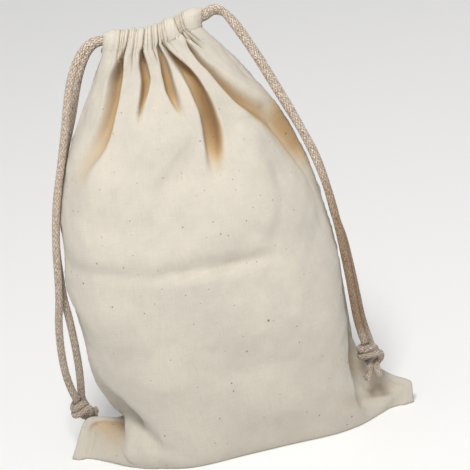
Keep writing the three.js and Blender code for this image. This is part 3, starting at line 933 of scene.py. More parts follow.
RIGHT_DRAWCORD = Drawcord(
    "right", {"a": RIGHT_FRONT, "b": RIGHT_BACK}, RIGHT_RUN, RIGHT_RUN_TURN,
    Knot(
        (117.2, -15.2, 56.4),
        [
            (0.1, 1.05, 10.8, -2.1, -3.45, 0), (0.5, 0.8, 6.5, -2.6, -2.4, 0), (0, 1.4, 1, -2.9, 0, 0),
            (-0.6, 2.4, -5, -2.2, 0.8, -0.8), (3.0, 2.0, -8.4, 0.2, 0.8, -2.4),
            (7.0, -0.6, -4.2, 2.0, 0, -1.8), (7.0, -4.4, 3.4, 1.8, -0.6, -2.6), (0.4, -7.4, 4.4, 0, 0, -3.0),
            (-5.8, -5.0, 2.8, 0, 0, -3.0), (-7.4, 0.2, 1.6, 0, 0, -3.0), (-4.8, 5.8, 1.2, 0, 0, -2.8),
            (1.2, 7.0, 0.6, 0, 0.6, -2.6), (4.2, 4.2, -3, 1.0, 1.4, -1.6), (2.2, -1.2, -8.6, 2.4, 0, 0),
        ],
        [
            [(4.6, -4.4, -13), (5.4, -6.4, -17), (6.2, -7.6, -20)],
            [(-1.4, -4.4, -13.5), (-3.0, -6.0, -18), (-4.6, -7.4, -22)],
        ],
        0.92,
    ),
)

# The flat size of a panel
FLAT_WIDTH = 300
FLAT_HEIGHT = 470

# The side seams seen from the front: place across (x) and height (z) at each cloth height. Low down they run
# out along the ears and come back in to the walls.
LEFT_SEAM = Table(
    "s x z",
    (0, -150, 0.6), (38, -129, 32), (77, -91, 23), (100, -104, 36), (134, -118, 66), (180, -122, 112),
    (226, -125, 158), (262, -124, 194), (298, -119, 229), (343, -105, 272), (381, -88, 307), (409, -74, 332),
    (428, -66, 350),
)
RIGHT_SEAM = Table(
    "s x z",
    (0, 150, 0.6), (18, 151, 16.5), (38, 135.5, 26), (60, 119, 40), (80, 108.5, 54), (104, 105, 70),
    (134, 105, 90), (180, 103, 136), (226, 99, 182), (270, 92, 224), (324, 75, 277), (372, 51, 318),
    (397, 39, 338), (414, 28, 353), (428, 20, 364),
)
# How far each panel stands out from the seam plane, and how boxy its section is
WALL = Table(
    "s front back power",
    (134, 70, 67, 2.5), (180, 72, 72, 2.5), (240, 70, 70, 2.4), (290, 63, 64, 2.3), (340, 50, 52, 2.2),
    (380, 37, 39, 2.1), (400, 29, 29.5, 2.1), (412, 25.2, 25.2, 2.15), (428, 22.9, 22.8, 2.2),
)
# The casing, up its outer wall, over and down its inner wall. end and mid say how far from the seam plane it
# stands at its ends and in its middle.
CASING = Table(
    "s leftX leftZ rightX rightZ end mid",
    (428, -66, 350, 20, 364, 9, 22.9), (434, -63.5, 357, 20, 365.5, 10.5, 22.9),
    (440, -62, 363.5, 20.5, 371, 13.2, 22.6), (446, -61, 369.5, 21.5, 376, 13.4, 20.5),
    (451, -60.5, 373, 22.5, 379.5, 9.5, 12.5), (456, -55, 370, 9, 376, 5, 5.5),
    (463, -54, 361.5, 7.5, 367.5, 4.2, 4.5), (470, -55, 353, 7.5, 359.5, 4.4, 5),
)
# The edge of the part of each panel that lies on the surface: how far it is from the bottom seam, at each x
RIM = Table(
    "x front back",
    (-150, 0, 0), (-126, 21, 12), (-106, 37, 30), (-75, 57, 54), (-44, 66, 63), (0, 58, 64), (40, 51, 60),
    (75, 46, 50), (100, 36, 36), (125, 15, 15), (150, 0, 0),
)


def waves(u: np.ndarray, s: np.ndarray, length: float, seed: int, count: int = 18) -> np.ndarray:
    """Gentle uneven swells over a panel, as in cloth that was once folded and handled.

    Args:
        u: The columns' places across the panel.
        s: The rows' cloth heights.
        length: The swells' usual length in millimetres.
        seed: Which swells.
        count: How many are laid over each other.

    Returns:
        A grid of heights, mostly between -1 and 1.
    """
    draw = np.random.default_rng(seed)
    total = np.zeros((len(s), len(u)))
    for _ in range(count):
        angle, phase = draw.uniform(0, math.tau, 2)
        size = math.tau / (length * draw.uniform(0.7, 1.6))
        across = math.cos(angle) * size * FLAT_WIDTH * u[None, :]
        total += np.sin(across + math.sin(angle) * size * s[:, None] + phase)
    return total / math.sqrt(count / 2)


class Trough:
    """A fold that runs up and down the cloth between two edges, each of them soft or crisp.

    Its rows hold, at each cloth height s, the places across of the two edges, the depth, how wide the bend
    of each edge is, and how far the bottom reaches in under the right edge, or under the left one if less
    than 0. warmth says how strongly its bottom is painted with warm light and shade, as between close layers
    of cloth, and shadow at which edge that painted shade is deepest, from 0 at the left one to 1 at the right
    one. Beside its edges the cloth rises in a low lip, which is lower where the trough is less than
    lip_full_depth deep.
    """

    lip_full_depth: float = 8
    lip_reach: float = 5
    lip_height: float = 0.9

    def __init__(self, *rows: tuple[float, ...], warmth: float = 1.0, shadow: float = 0.5) -> None:
        """Keeps the trough's rows and how its bottom looks.

        Args:
            rows: One tuple for each row, in rising order of s.
            warmth: How strongly its bottom is painted with warm light and shade.
            shadow: At which edge that painted shade is deepest.
        """
        self.rows = Table("s left right depth softL softR under", *rows)
        self.warmth = warmth
        self.shadow = shadow

    def press(self, s: np.ndarray, u: np.ndarray, width: np.ndarray) -> tuple[np.ndarray, ...]:
        """Works out how the trough moves the cloth.

        Args:
            s: The rows' cloth heights.
            u: The columns' places across.
            width: How many millimetres a unit of u takes at each point.

        Returns:
            How far each point goes out, how far it goes across, and how much painted warm light and shade it
            gets.
        """
        left, right, depth, soft_left, soft_right, under = (
            self.rows.at(name, s)[:, None] for name in ("left", "right", "depth", "softL", "softR", "under")
        )
        from_left, from_right = (u[None, :] - left) * width, (right - u[None, :]) * width
        inside = smooth(from_left / soft_left + 0.5) * smooth(from_right / soft_right + 0.5)
        share = np.clip((u[None, :] - left) / (right - left), 0, 1)
        # The bottom curves: beside its edges it lies at 0.7 of the depth, and in its middle at all of it
        deep = depth * inside * (0.7 + 1.2 * share * (1 - share))
        near = np.maximum(-from_left, 0) + np.maximum(-from_right, 0)
        raised = np.minimum(depth / self.lip_full_depth, 1) * (1 - inside)
        lip = raised * np.exp(-((near / self.lip_reach) ** 2))
        across = under * inside * np.where(under > 0, share, 1 - share)
        # The painted warm light and shade reach a little past the edges, and are strongest at the shadow edge
        wide = smooth(from_left / soft_left + 0.65) * smooth(from_right / soft_right + 0.65)
        shaded = 0.25 + 0.95 * (self.shadow * share + (1 - self.shadow) * (1 - share)) ** 1.2
        return self.lip_height * lip - deep, across, depth * wide * shaded * self.warmth


class Crease:
    """A fold that runs across the cloth.

    Its rows hold, at each place across u, its cloth height, its depth (a ridge if less than 0) and its reach
    above and below.
    """

    def __init__(self, *rows: tuple[float, ...]) -> None:
        """Keeps the crease's rows."""
        self.rows = Table("u s depth above below", *rows)

    def press(self, s: np.ndarray, u: np.ndarray) -> np.ndarray:
        """How far the crease moves each point of the cloth out.

        Args:
            s: The rows' cloth heights.
            u: The columns' places across.

        Returns:
            A grid of distances.
        """
        line, depth, above, below = (
            self.rows.at(name, u)[None, :] for name in ("s", "depth", "above", "below")
        )
        away = s[:, None] - line
        return -depth * np.exp(-((away / np.where(away > 0, above, below)) ** 2))


@dataclass
class Stitching:
    """A row of stitches in pale thread along a line on the cloth. Sizes in metres."""

    finish: bpy.types.Material
    pitch: float = 3.2 * MM
    length: float = 2.5 * MM
    thread: float = 0.5 * MM
    tree: bpy.types.NodeTree = field(init=False)

    def __post_init__(self) -> None:
        """Makes the stitches' node tree."""
        sizes = dict.fromkeys(("Pitch", "Length", "Thread"), "Float")
        g = new_tree("stitches", {"Line": "Geometry", **sizes, "Finish": "Material"})
        self.tree = g.tree
        given = g.add("NodeGroupInput").outputs
        inputs = {"Curve": given["Line"], "Length": given["Pitch"]}
        spots = g.add("GeometryNodeCurveToPoints", inputs, mode="LENGTH").outputs
        bead = g.first("GeometryNodeMeshUVSphere", {"Segments": 8, "Rings": 6, "Radius": 0.5})
        form = g.first("ShaderNodeCombineXYZ", {0: given["Thread"], 1: given["Thread"], 2: given["Length"]})
        stitch = g.first("GeometryNodeTransform", {"Geometry": bead, "Scale": form})
        laid = g.first("GeometryNodeInstanceOnPoints", {
            "Points": spots["Points"], "Instance": stitch, "Rotation": spots["Rotation"],
        })
        g.dress(g.first("GeometryNodeSetShadeSmooth", {0: laid}), given["Finish"])

    def along(self, name: str, line: np.ndarray) -> bpy.types.Object:
        """Sews a row of stitches.

        Args:
            name: The new object's name.
            line: The points of the line, in metres.

        Returns:
            One plain mesh object.
        """
        sizes = {"Pitch": self.pitch, "Length": self.length, "Thread": self.thread, "Finish": self.finish}
        return applied(poly_curve(name + "_line", [line]), self.tree, sizes, name)


@dataclass
class Panel:
    """One panel of cloth, stood up by one rule from its flat coordinates. Sizes in millimetres.

    sign is -1 for the front panel and 1 for the back one. deepest is where across the panel it stands
    furthest out, from 0 at the left to 1 at the right. Cloth heights, measured up the flat cloth:
    wall_start, where the wall begins, neck_start, seam_top, where the casing begins, pleat_middle, which
    the pleats drift about, and stitched_at, the row of stitches. Each Step holds the height that a soft step
    starts at, and its span. The rim's fields shape the bend from the surface up to the wall. ear_reach,
    ear_close_reach, crumple_edge and the insets are shares of the panel's width.
    """

    name: str
    sign: int
    deepest: float
    troughs: list[Trough]
    creases: list[Crease]
    pleats: Table
    seed: int
    columns: int = 240
    wall_start: float = 134
    neck_start: float = 320
    seam_top: float = 428
    seam_gap: float = 0.15
    thickness: float = 1.0
    casing_end: float = 9
    casing_end_step: Step = (394, 36)
    casing_dip: float = 5.4
    casing_dip_step: Step = (340, 80)
    casing_power: float = 2.2
    dip_share: float = 0.86
    rim_soft: float = 40
    rim_out: float = 24
    rim_up: float = 22
    rim_pull: float = 62
    ear_start: float = 18
    ear_reach: tuple[float, float] = (0.24, 0.2)
    ear_fall: float = 0.35
    ear_close: float = 0.7
    ear_close_reach: float = 0.1
    ear_close_step: Step = (0, 20)
    ear_open_step: Step = (100, 34)
    band: float = 6
    band_round: float = 1.5
    band_edge: float = 2
    band_height: float = 0.7
    band_below_casing: float = 12
    ear_band: float = 0.8
    ear_band_step: Step = (110, 30)
    pucker: float = 0.3
    pucker_reach: float = 5
    pucker_waves: tuple[float, ...] = (0.71, 2.3, 0.113)
    pleat_middle: float = 438
    pleat_drift_height: float = 20
    pleat_span: float = 30
    pleat_power: float = 1.6
    pleat_loss: float = 0.3
    pleat_loss_step: Step = (446, 8)
    pleat_lift: float = 1.8
    pleat_lift_inset: float = 0.12
    pleat_lift_step: Step = (400, 32)
    pleat_lift_loss: float = 0.5
    pleat_lift_loss_step: Step = (450, 6)
    pleat_shade: float = 0.8
    pleat_shade_step: Step = (405, 20)
    crumple: float = 0.5
    crumple_inset: float = 0.14
    crumple_edge: float = 0.04
    crumple_step: Step = (424, 12)
    crumple_waves: tuple[float, ...] = (236, 23, 61, 150)
    swells: tuple[tuple[float, float], ...] = ((1.1, 75), (0.22, 17))
    swell_step: Step = (2, 25)
    swell_loss: float = 0.6
    swell_loss_step: Step = (425, 10)
    seam_hold: float = 9
    shade_from: float = 0.4
    full_shade: float = 10
    stitched_at: float = 435
    thread_proud: float = 0.1
    stitch_line: np.ndarray = field(init=False)

    def heights(self) -> np.ndarray:
        """The cloth heights of the mesh's rows, closer together where the cloth is gathered.

        Returns:
            The heights, rising.
        """
        edges = (0, self.wall_start, self.neck_start, self.seam_top)
        rows = [np.linspace(a, b, n, endpoint=False) for a, b, n in zip(edges, edges[1:], (46, 50, 54))]
        return np.concatenate([*rows, np.linspace(self.seam_top, FLAT_HEIGHT, 36)])

    def row(self, s: float) -> dict[str, float]:
        """The plain row of the panel at one cloth height: its ends, its depth and its form.

        Args:
            s: The row's cloth height.

        Returns:
            The x and z of its two ends, how far its ends and its middle stand out, its power and its sag.
        """
        if s > self.seam_top:
            found = {name: float(CASING.at(name, s)) for name in CASING.columns if name != "s"}
            return {**found, "power": self.casing_power, "dip": self.casing_dip}
        ends = {
            side + axis.upper(): float(seam.at(axis, s))
            for side, seam in (("left", LEFT_SEAM), ("right", RIGHT_SEAM)) for axis in "xz"
        }
        return {
            **ends, "mid": float(WALL.at(self.name, s)), "power": float(WALL.at("power", s)),
            "end": float(self.seam_gap + (self.casing_end - self.seam_gap) * rise(s, *self.casing_end_step)),
            "dip": float(self.casing_dip * rise(s, *self.casing_dip_step)),
        }

    def wall(self, s: float, u: np.ndarray) -> np.ndarray:
        """A row above the base, before its folds.

        Args:
            s: The row's cloth height.
            u: The places across the panel.

        Returns:
            A point for each place.
        """
        row = self.row(s)
        angle = np.linspace(0, math.pi, self.columns + 1)
        reach = np.abs(np.cos(angle)) ** (2 / row["power"])
        width = row["rightX"] - row["leftX"]
        middle = row["leftX"] + width * self.deepest
        left, right = middle - row["leftX"], row["rightX"] - middle
        x = np.where(np.cos(angle) > 0, middle - left * reach, middle + right * reach)
        out = row["end"] + (row["mid"] - row["end"]) * np.maximum(np.sin(angle), 0) ** (2 / row["power"])
        length = np.concatenate([[0], np.cumsum(np.hypot(np.diff(x), np.diff(out)))])
        target = u * length[-1]
        x, out = np.interp(target, length, x), np.interp(target, length, out)
        share = np.clip((x - row["leftX"]) / width, 0, 1)
        sag = row["dip"] * np.sin(math.pi * np.minimum(share / self.dip_share, 1))
        z = row["leftZ"] + (row["rightZ"] - row["leftZ"]) * share - sag
        return leaned(np.stack([x, self.sign * out, z], 1))

    def rim(self, u: np.ndarray) -> np.ndarray:
        """How far up the cloth the panel leaves the surface, at each place across."""
        return RIM.at(self.name, FLAT_WIDTH * (u - 0.5))

    def base(self, s: float, u: np.ndarray) -> np.ndarray:
        """A row near the base: along the surface to the rim, round it and up to the wall.

        Args:
            s: The row's cloth height.
            u: The places across the panel.

        Returns:
            A point for each place.
        """
        x, rim = FLAT_WIDTH * (u - 0.5), self.rim(u)
        on_floor = self.sign * np.maximum(np.minimum(s, rim), self.seam_gap)
        floor = np.stack([x, on_floor, np.full_like(x, self.thickness / 2)], 1)
        top = self.wall(self.wall_start, u)
        round_rim = np.minimum(rim / self.rim_soft, 1)
        out = np.stack([0 * x, self.sign * self.rim_out * round_rim, self.rim_up * (1 - round_rim)], 1)
        up = (self.wall(self.wall_start + 1, u) - top) * (self.wall_start - rim)[:, None]
        up *= np.minimum(1, self.rim_pull / np.linalg.norm(up, axis=1))[:, None]
        t = np.clip((s - rim) / (self.wall_start - rim), 0, 1)[:, None]
        return np.where((s <= rim)[:, None], floor, between(floor, out, top, up, t))

    def ears(self, s: float, u: np.ndarray, row: np.ndarray) -> np.ndarray:
        """How far the seams' own paths draw a row near the base away from its plain shape.

        Args:
            s: The row's cloth height.
            u: The places across the panel.
            row: The plain row.

        Returns:
            The way each point moves.
        """
        shift = np.zeros((len(u), 3))
        begun = rise(s, self.rim(u), self.ear_start)
        close = self.ear_close * rise(s, *self.ear_close_step) * (1 - rise(s, *self.ear_open_step))
        for seam, edge, far in zip((LEFT_SEAM, RIGHT_SEAM), (0, 1), self.ear_reach):
            plain = self.base(s, np.array([float(edge)]))[0]
            inward = np.minimum(np.abs(u - edge) / far, 1)
            hold = (1 - smooth(inward)) * (1 - self.ear_fall * inward) * begun
            shift[:, 0] += (float(seam.at("x", s)) - plain[0]) * hold
            shift[:, 2] += (float(seam.at("z", s)) - plain[2]) * hold
            shift[:, 1] -= row[:, 1] * close * (1 - smooth(np.abs(u - edge) / self.ear_close_reach))
        return shift

    def plain_grid(self, s: np.ndarray, u: np.ndarray) -> np.ndarray:
        """The panel's middle surface before its folds, as rows of points.

        Args:
            s: The rows' cloth heights.
            u: The columns' places across.

        Returns:
            A grid of points.
        """
        rows = []
        for height in s:
            row = self.wall(height, u) if height >= self.wall_start else self.base(height, u)
            rows.append(row if height >= self.wall_start else row + self.ears(height, u, row))
        return np.array(rows)

    def normals(self, grid: np.ndarray) -> tuple[np.ndarray, np.ndarray]:
        """The outward normals of a grid, and its directions across the cloth.

        Args:
            grid: The grid of points.

        Returns:
            Both as grids of vectors.
        """
        across = unit(np.gradient(grid, axis=1))
        up = unit(np.gradient(grid, axis=0))
        return unit(np.cross(across, up)) * -self.sign, across

    def seams(self, s: np.ndarray, u: np.ndarray) -> np.ndarray:
        """How far the turned-in edges of the side and bottom seams press the cloth out, and their puckers.

        Args:
            s: The rows' cloth heights.
            u: The columns' places across.

        Returns:
            A grid of distances.
        """
        side = np.minimum(u, 1 - u)[None, :] * FLAT_WIDTH
        up = s[:, None]
        from_seam = np.minimum(side, up)
        raised = self.band_height * smooth(from_seam / self.band_round)
        raised *= 1 - rise(from_seam, self.band, self.band_edge)
        raised *= 1 + self.ear_band * (1 - rise(up, *self.ear_band_step)) * (side < up)
        run = np.where(side < up, up, FLAT_WIDTH * u[None, :])
        fine, sway, slow = self.pucker_waves
        ripple = np.sin(run * fine + sway * np.sin(run * slow))
        puckers = self.pucker * ripple * np.exp(-(((from_seam - self.band) / self.pucker_reach) ** 2))
        return (raised + puckers) * (up <= self.seam_top - self.band_below_casing)

    def gathers(self, s: np.ndarray, u: np.ndarray, width: np.ndarray) -> np.ndarray:
        """How the drawn cords' pleats move the casing and the cloth just below it in and out.

        Args:
            s: The rows' cloth heights.
            u: The columns' places across.
            width: How many millimetres a unit of u takes at each point.

        Returns:
            A grid of distances.
        """
        moved = np.zeros(width.shape)
        for place, drift, depth, half, low in zip(*self.pleats.columns.values()):
            centre = place + drift * (s - self.pleat_middle)[:, None] / self.pleat_drift_height
            fade = rise(s, low, self.pleat_span) * (1 - self.pleat_loss * rise(s, *self.pleat_loss_step))
            away = np.abs((u[None, :] - centre) * width / half)
            moved -= fade[:, None] * depth * np.exp(-away**self.pleat_power)
        fine, slow, patches, slant = self.crumple_waves
        crumple = np.sin(u * fine + 3 * np.sin(u * slow)) * (0.6 + 0.4 * np.sin(u * patches + 1))
        inside = np.minimum(u - self.crumple_inset, 1 - self.crumple_inset - u)
        drawn = rise(s, *self.crumple_step)[:, None] * smooth(inside / self.crumple_edge)[None, :]
        slanted = 0.4 * np.sin(u[None, :] * slant + s[:, None] / 5)
        moved += self.crumple * drawn * (crumple[None, :] + slanted)
        lift = rise(s, *self.pleat_lift_step)
        lift *= 1 - self.pleat_lift_loss * rise(s, *self.pleat_lift_loss_step)
        from_ends = smooth(np.minimum(u, 1 - u) / self.pleat_lift_inset)
        return moved + self.pleat_lift * lift[:, None] * from_ends[None, :]

    def folded(self, grid: np.ndarray, s: np.ndarray, u: np.ndarray) -> tuple[np.ndarray, np.ndarray]:
        """Presses the folds, pleats, seams and swells into the cloth.

        Args:
            grid: The plain grid.
            s: The rows' cloth heights.
            u: The columns' places across.

        Returns:
            The folded grid, and how much painted warm light and shade of the folds each point gets, from 0 to
            1.
        """
        normal, across = self.normals(grid)
        width = np.linalg.norm(np.gradient(grid, axis=1), axis=2) / np.gradient(u)[None, :]
        gathers = self.gathers(s, u, width)
        push = gathers + self.seams(s, u)
        slide = np.zeros(grid.shape[:2])
        # Painted shade in the valleys between the pleats, below the casing
        pleated = np.maximum(self.pleat_lift - gathers, 0) * self.pleat_shade
        deepest = pleated * rise(s, *self.pleat_shade_step)[:, None]
        for trough in self.troughs:
            out, aside, deep = trough.press(s, u, width)
            push += out
            slide += aside
            deepest = np.maximum(deepest, deep)
        for crease in self.creases:
            push += crease.press(s, u)
        large, small = (
            height * waves(u, s, length, self.seed + i) for i, (height, length) in enumerate(self.swells)
        )
        calm = 1 - self.swell_loss * rise(s, *self.swell_loss_step)
        push += (large + small) * rise(grid[..., 2], *self.swell_step) * calm[:, None]
        loose = smooth(np.minimum(u, 1 - u) * FLAT_WIDTH / self.seam_hold)[None, :]
        push = np.where((s <= self.seam_top)[:, None], push * loose, push)
        moved = grid + normal * push[..., None] + across * slide[..., None]
        return moved, np.clip((deepest - self.shade_from) / self.full_shade, 0, 1)

    def build(self, material: bpy.types.Material) -> bpy.types.Object:
        """Makes the panel's closed sheet with its flat UV map and its fold attribute of painted warm light
        and shade.

        Args:
            material: The cloth's material.

        Returns:
            The new object.
        """
        s, u = self.heights(), np.linspace(0, 1, self.columns + 1)
        grid, fold = self.folded(self.plain_grid(s, u), s, u)
        normal, _ = self.normals(grid)
        layers = [grid + normal * half for half in (self.thickness / 2, -self.thickness / 2)]
        points = np.concatenate([layer.reshape(-1, 3) for layer in layers])
        points[:, 2] = np.maximum(points[:, 2], 0)
        points[:, 1] = self.sign * np.maximum(self.sign * points[:, 1], self.seam_gap)
        points[:, 1] -= tips_forward(points)
        row = int(np.argmin(np.abs(s - self.stitched_at)))
        outer = points[:grid[..., 0].size].reshape(grid.shape)
        self.stitch_line = (outer[row] + self.thread_proud * normal[row])[2:-2] * MM
        faces = self.shell_faces(len(s), len(u))
        made = mesh_object(f"{self.name}_panel", points * MM, faces, material)
        flat = np.stack(np.meshgrid(u * FLAT_WIDTH, s), 2).reshape(-1, 2) * MM
        corners = np.concatenate([flat, flat])[faces.ravel()]
        made.data.uv_layers.new(name="flat").data.foreach_set("uv", corners.ravel())
        # The painted warm light and shade of the folds, on both layers
        depth = np.tile(fold.ravel(), 2).astype(np.float32)
        made.data.attributes.new("fold", "FLOAT", "POINT").data.foreach_set("value", depth)
        return made

    def shell_faces(self, rows: int, columns: int) -> np.ndarray:
        """The four-cornered faces of a closed sheet of two layers of a grid, facing out.

        Args:
            rows: How many rows of points the grid has.
            columns: How many columns.

        Returns:
            The corners of each face.
        """
        index = np.arange(rows * columns).reshape(rows, columns)
        a, b, c, d = index[:-1, :-1], index[:-1, 1:], index[1:, 1:], index[1:, :-1]
        outer = np.stack([a, b, c, d], -1).reshape(-1, 4)
        inner = outer[:, ::-1] + rows * columns
        ring = np.concatenate([index[0, :-1], index[:-1, -1], index[-1, :0:-1], index[:0:-1, 0]])
        after = np.roll(ring, -1)
        rim = np.stack([after, ring, ring + rows * columns, after + rows * columns], -1)
        faces = np.concatenate([outer, inner, rim])
        return faces if self.sign < 0 else faces[:, ::-1]


# Each trough also paints warm light and shade into the cloth along its bottom, as strongly as its warmth says
FRONT_TROUGHS = [
    # The fold under the left end of the casing
    Trough(
        (305, 0.04, 0.15, 0, 26, 20, 0), (333, 0.085, 0.19, 3.2, 20, 12, 0),
        (351, 0.145, 0.24, 5.5, 15, 6, 0), (368, 0.178, 0.264, 8, 11, 3.4, 0.5),
        (386, 0.195, 0.271, 10, 7, 2.2, 1.5), (398, 0.19, 0.27, 11, 6, 1.8, 2),
        (411, 0.18, 0.267, 11, 5, 1.6, 2), (421, 0.195, 0.266, 9.5, 3.4, 1.6, 1),
        (429, 0.23, 0.265, 6, 2.4, 1.6, 0), (441, 0.262, 0.275, 0, 2, 2, 0),
        warmth=1.05, shadow=0.78,
    ),
    # The short fold right of it
    Trough(
        (360, 0.38, 0.395, 0, 8, 9, 0), (371, 0.38, 0.395, 3, 5, 7, 0), (383, 0.38, 0.407, 7, 2.4, 4, 0),
        (394, 0.386, 0.432, 9.5, 1.8, 2.2, 0.8), (406, 0.393, 0.454, 10, 1.8, 1.8, 1),
        (418, 0.386, 0.448, 9, 1.6, 1.8, 0.5), (428, 0.395, 0.435, 6, 1.4, 1.6, 0),
        (439, 0.415, 0.425, 0, 1.4, 1.4, 0),
        warmth=1.0, shadow=0.35,
    ),
    # The middle fold
    Trough(
        (356, 0.585, 0.60, 0, 8, 12, 0), (366, 0.565, 0.588, 3, 5, 9, 0), (373, 0.553, 0.584, 6, 3, 6, 0),
        (382, 0.541, 0.584, 8.5, 2, 4, -0.8), (393, 0.527, 0.581, 10, 1.8, 3, -1),
        (403, 0.527, 0.585, 10, 1.6, 2.6, -1), (413, 0.537, 0.588, 8.5, 1.6, 2.4, -0.8),
        (426, 0.542, 0.576, 5.5, 1.4, 2, 0), (437, 0.55, 0.56, 0, 1.4, 1.4, 0),
        warmth=1.0, shadow=0.35,
    ),
    # The deep fold right of the middle
    Trough(
        (298, 0.60, 0.64, 0, 14, 14, 0), (312, 0.608, 0.652, 4, 8, 12, 0), (324, 0.616, 0.672, 9, 4, 9, 0),
        (335, 0.624, 0.69, 12, 2.6, 7, 0), (350, 0.64, 0.708, 13.5, 2.2, 4, 0),
        (364, 0.65, 0.716, 13.5, 2.4, 2.4, 0.5), (382, 0.646, 0.709, 12.5, 3, 1.8, 2),
        (400, 0.632, 0.686, 11.5, 3.6, 1.6, 2), (414, 0.612, 0.648, 9.5, 3, 1.6, 1.2),
        (426, 0.596, 0.615, 6, 2, 1.5, 0.5), (437, 0.585, 0.595, 0, 1.4, 1.4, 0),
        warmth=0.95, shadow=0.8,
    ),
    # The long fold that runs down to the right side
    Trough(
        (268, 0.94, 0.985, 0, 24, 10, 0), (287, 0.925, 0.985, 3, 24, 9, 0), (305, 0.91, 0.985, 5, 24, 8, 0),
        (322, 0.886, 0.975, 7, 20, 10, 0), (338, 0.848, 0.945, 9, 12, 18, 0),
        (352, 0.816, 0.895, 10.5, 6, 18, 0), (363, 0.798, 0.862, 11, 3.4, 16, 0),
        (374, 0.785, 0.838, 11, 2.6, 13, 0), (387, 0.772, 0.812, 9.5, 2, 9, -0.5),
        (403, 0.752, 0.782, 8, 1.8, 5, -0.5), (413, 0.755, 0.782, 6.5, 1.6, 4, 0),
        (424, 0.775, 0.795, 4, 1.5, 2, 0), (434, 0.79, 0.80, 0, 1.4, 1.4, 0),
        warmth=0.95, shadow=0.1,
    ),
    # The painted warm shade along the right side, over a shallow trough
    Trough(
        (262, 0.95, 0.985, 0, 16, 6, 0), (284, 0.93, 0.985, 0.8, 20, 6, 0),
        (302, 0.915, 0.985, 1.4, 24, 6, 0), (318, 0.905, 0.985, 1.4, 26, 6, 0),
        (334, 0.905, 0.98, 1.0, 22, 8, 0), (348, 0.90, 0.95, 0, 14, 10, 0),
        warmth=5.0, shadow=1.0,
    ),
    # The short fold under the right end of the casing
    Trough(
        (404, 0.835, 0.85, 0, 3, 6, 0), (411, 0.82, 0.84, 3, 1.8, 5, 0), (419, 0.805, 0.825, 4.5, 1.6, 3, 0),
        (430, 0.80, 0.812, 0, 1.5, 2, 0),
    ),
    # The crease near the tip of the left ear
    Trough(
        (6, 0.033, 0.045, 0, 5, 5, 0), (20, 0.034, 0.05, 2.0, 4, 8, 0), (32, 0.026, 0.04, 2.2, 4, 8, 0),
        (42, 0.024, 0.05, 0, 4, 7, 0),
        warmth=1.0, shadow=0.5,
    ),
    # The hollow of the left ear, with painted warm shade
    Trough(
        (18, 0.03, 0.06, 0, 3, 14, 0), (30, 0.024, 0.08, 2.2, 1.6, 18, 0),
        (44, 0.022, 0.12, 3.2, 1.4, 22, 0), (60, 0.022, 0.13, 3, 1.4, 22, 0),
        (78, 0.022, 0.12, 2.4, 1.6, 18, 0), (96, 0.024, 0.08, 1.2, 3, 12, 0), (110, 0.024, 0.05, 0, 3, 8, 0),
        warmth=1.5, shadow=0.2,
    ),
    # The valley beside the right wall
    Trough(
        (26, 0.90, 0.965, 0, 12, 10, 0), (42, 0.87, 0.965, 3, 14, 9, 0), (58, 0.865, 0.965, 6, 12, 8, 0),
        (74, 0.865, 0.965, 9, 10, 7, 0), (90, 0.88, 0.965, 9, 10, 7, 0), (106, 0.90, 0.97, 6, 8, 6, 0),
        (122, 0.93, 0.975, 2, 8, 6, 0), (134, 0.94, 0.975, 0, 8, 6, 0),
        warmth=0.3, shadow=0.8,
    ),
    # The hollow of the right ear, with painted warm shade under the knot's tails
    Trough(
        (20, 0.945, 0.96, 0, 9, 10, 0), (33, 0.93, 0.968, 1.4, 9, 10, 0), (43, 0.92, 0.965, 1.8, 9, 10, 0),
        (52, 0.92, 0.955, 1.5, 9, 10, 0), (66, 0.922, 0.95, 0, 9, 10, 0),
        warmth=2.2, shadow=0.4,
    ),
    # The low line on the right ear, with painted warm shade
    Trough(
        (18, 0.945, 0.953, 0, 3, 3, 0), (26, 0.939, 0.949, 1.3, 3, 3, 0), (38, 0.921, 0.933, 1.8, 3, 3, 0),
        (48, 0.902, 0.915, 1.8, 3, 4, 0), (58, 0.88, 0.90, 0, 5, 5, 0),
        warmth=2.4, shadow=0.5,
    ),
    # The faint fold from the right ear to the body, with painted warm shade
    Trough(
        (42, 0.888, 0.90, 0, 8, 8, 0), (52, 0.87, 0.90, 1.4, 8, 8, 0), (64, 0.843, 0.885, 1.9, 9, 9, 0),
        (76, 0.80, 0.85, 1.6, 11, 10, 0), (92, 0.77, 0.82, 0, 12, 12, 0),
        warmth=1.5, shadow=0.5,
    ),
    # The wide soft hollow high on the right
    Trough(
        (204, 0.69, 0.93, 0, 26, 20, 0), (232, 0.70, 0.95, 3.5, 24, 18, 0),
        (255, 0.748, 0.965, 5.5, 20, 16, 0), (285, 0.785, 0.97, 6, 20, 16, 0),
        (312, 0.795, 0.97, 4.5, 22, 16, 0), (345, 0.79, 0.96, 0, 24, 20, 0),
        warmth=0.05,
    ),
    # The soft dent below the middle folds
    Trough(
        (278, 0.39, 0.47, 0, 22, 26, 0), (300, 0.41, 0.51, 2.2, 20, 26, 0),
        (316, 0.45, 0.575, 3.2, 18, 26, 0), (328, 0.50, 0.61, 2.8, 16, 20, 0),
        (340, 0.56, 0.62, 1.4, 12, 14, 0), (352, 0.58, 0.61, 0, 10, 10, 0),
        warmth=0.3,
    ),
    # The soft dent below the right end of the front's crease
    Trough(
        (166, 0.67, 0.74, 0, 14, 14, 0), (188, 0.675, 0.75, 2.2, 12, 14, 0),
        (208, 0.665, 0.74, 2, 12, 12, 0), (222, 0.66, 0.72, 0, 10, 10, 0),
        warmth=0.2,
    ),
]
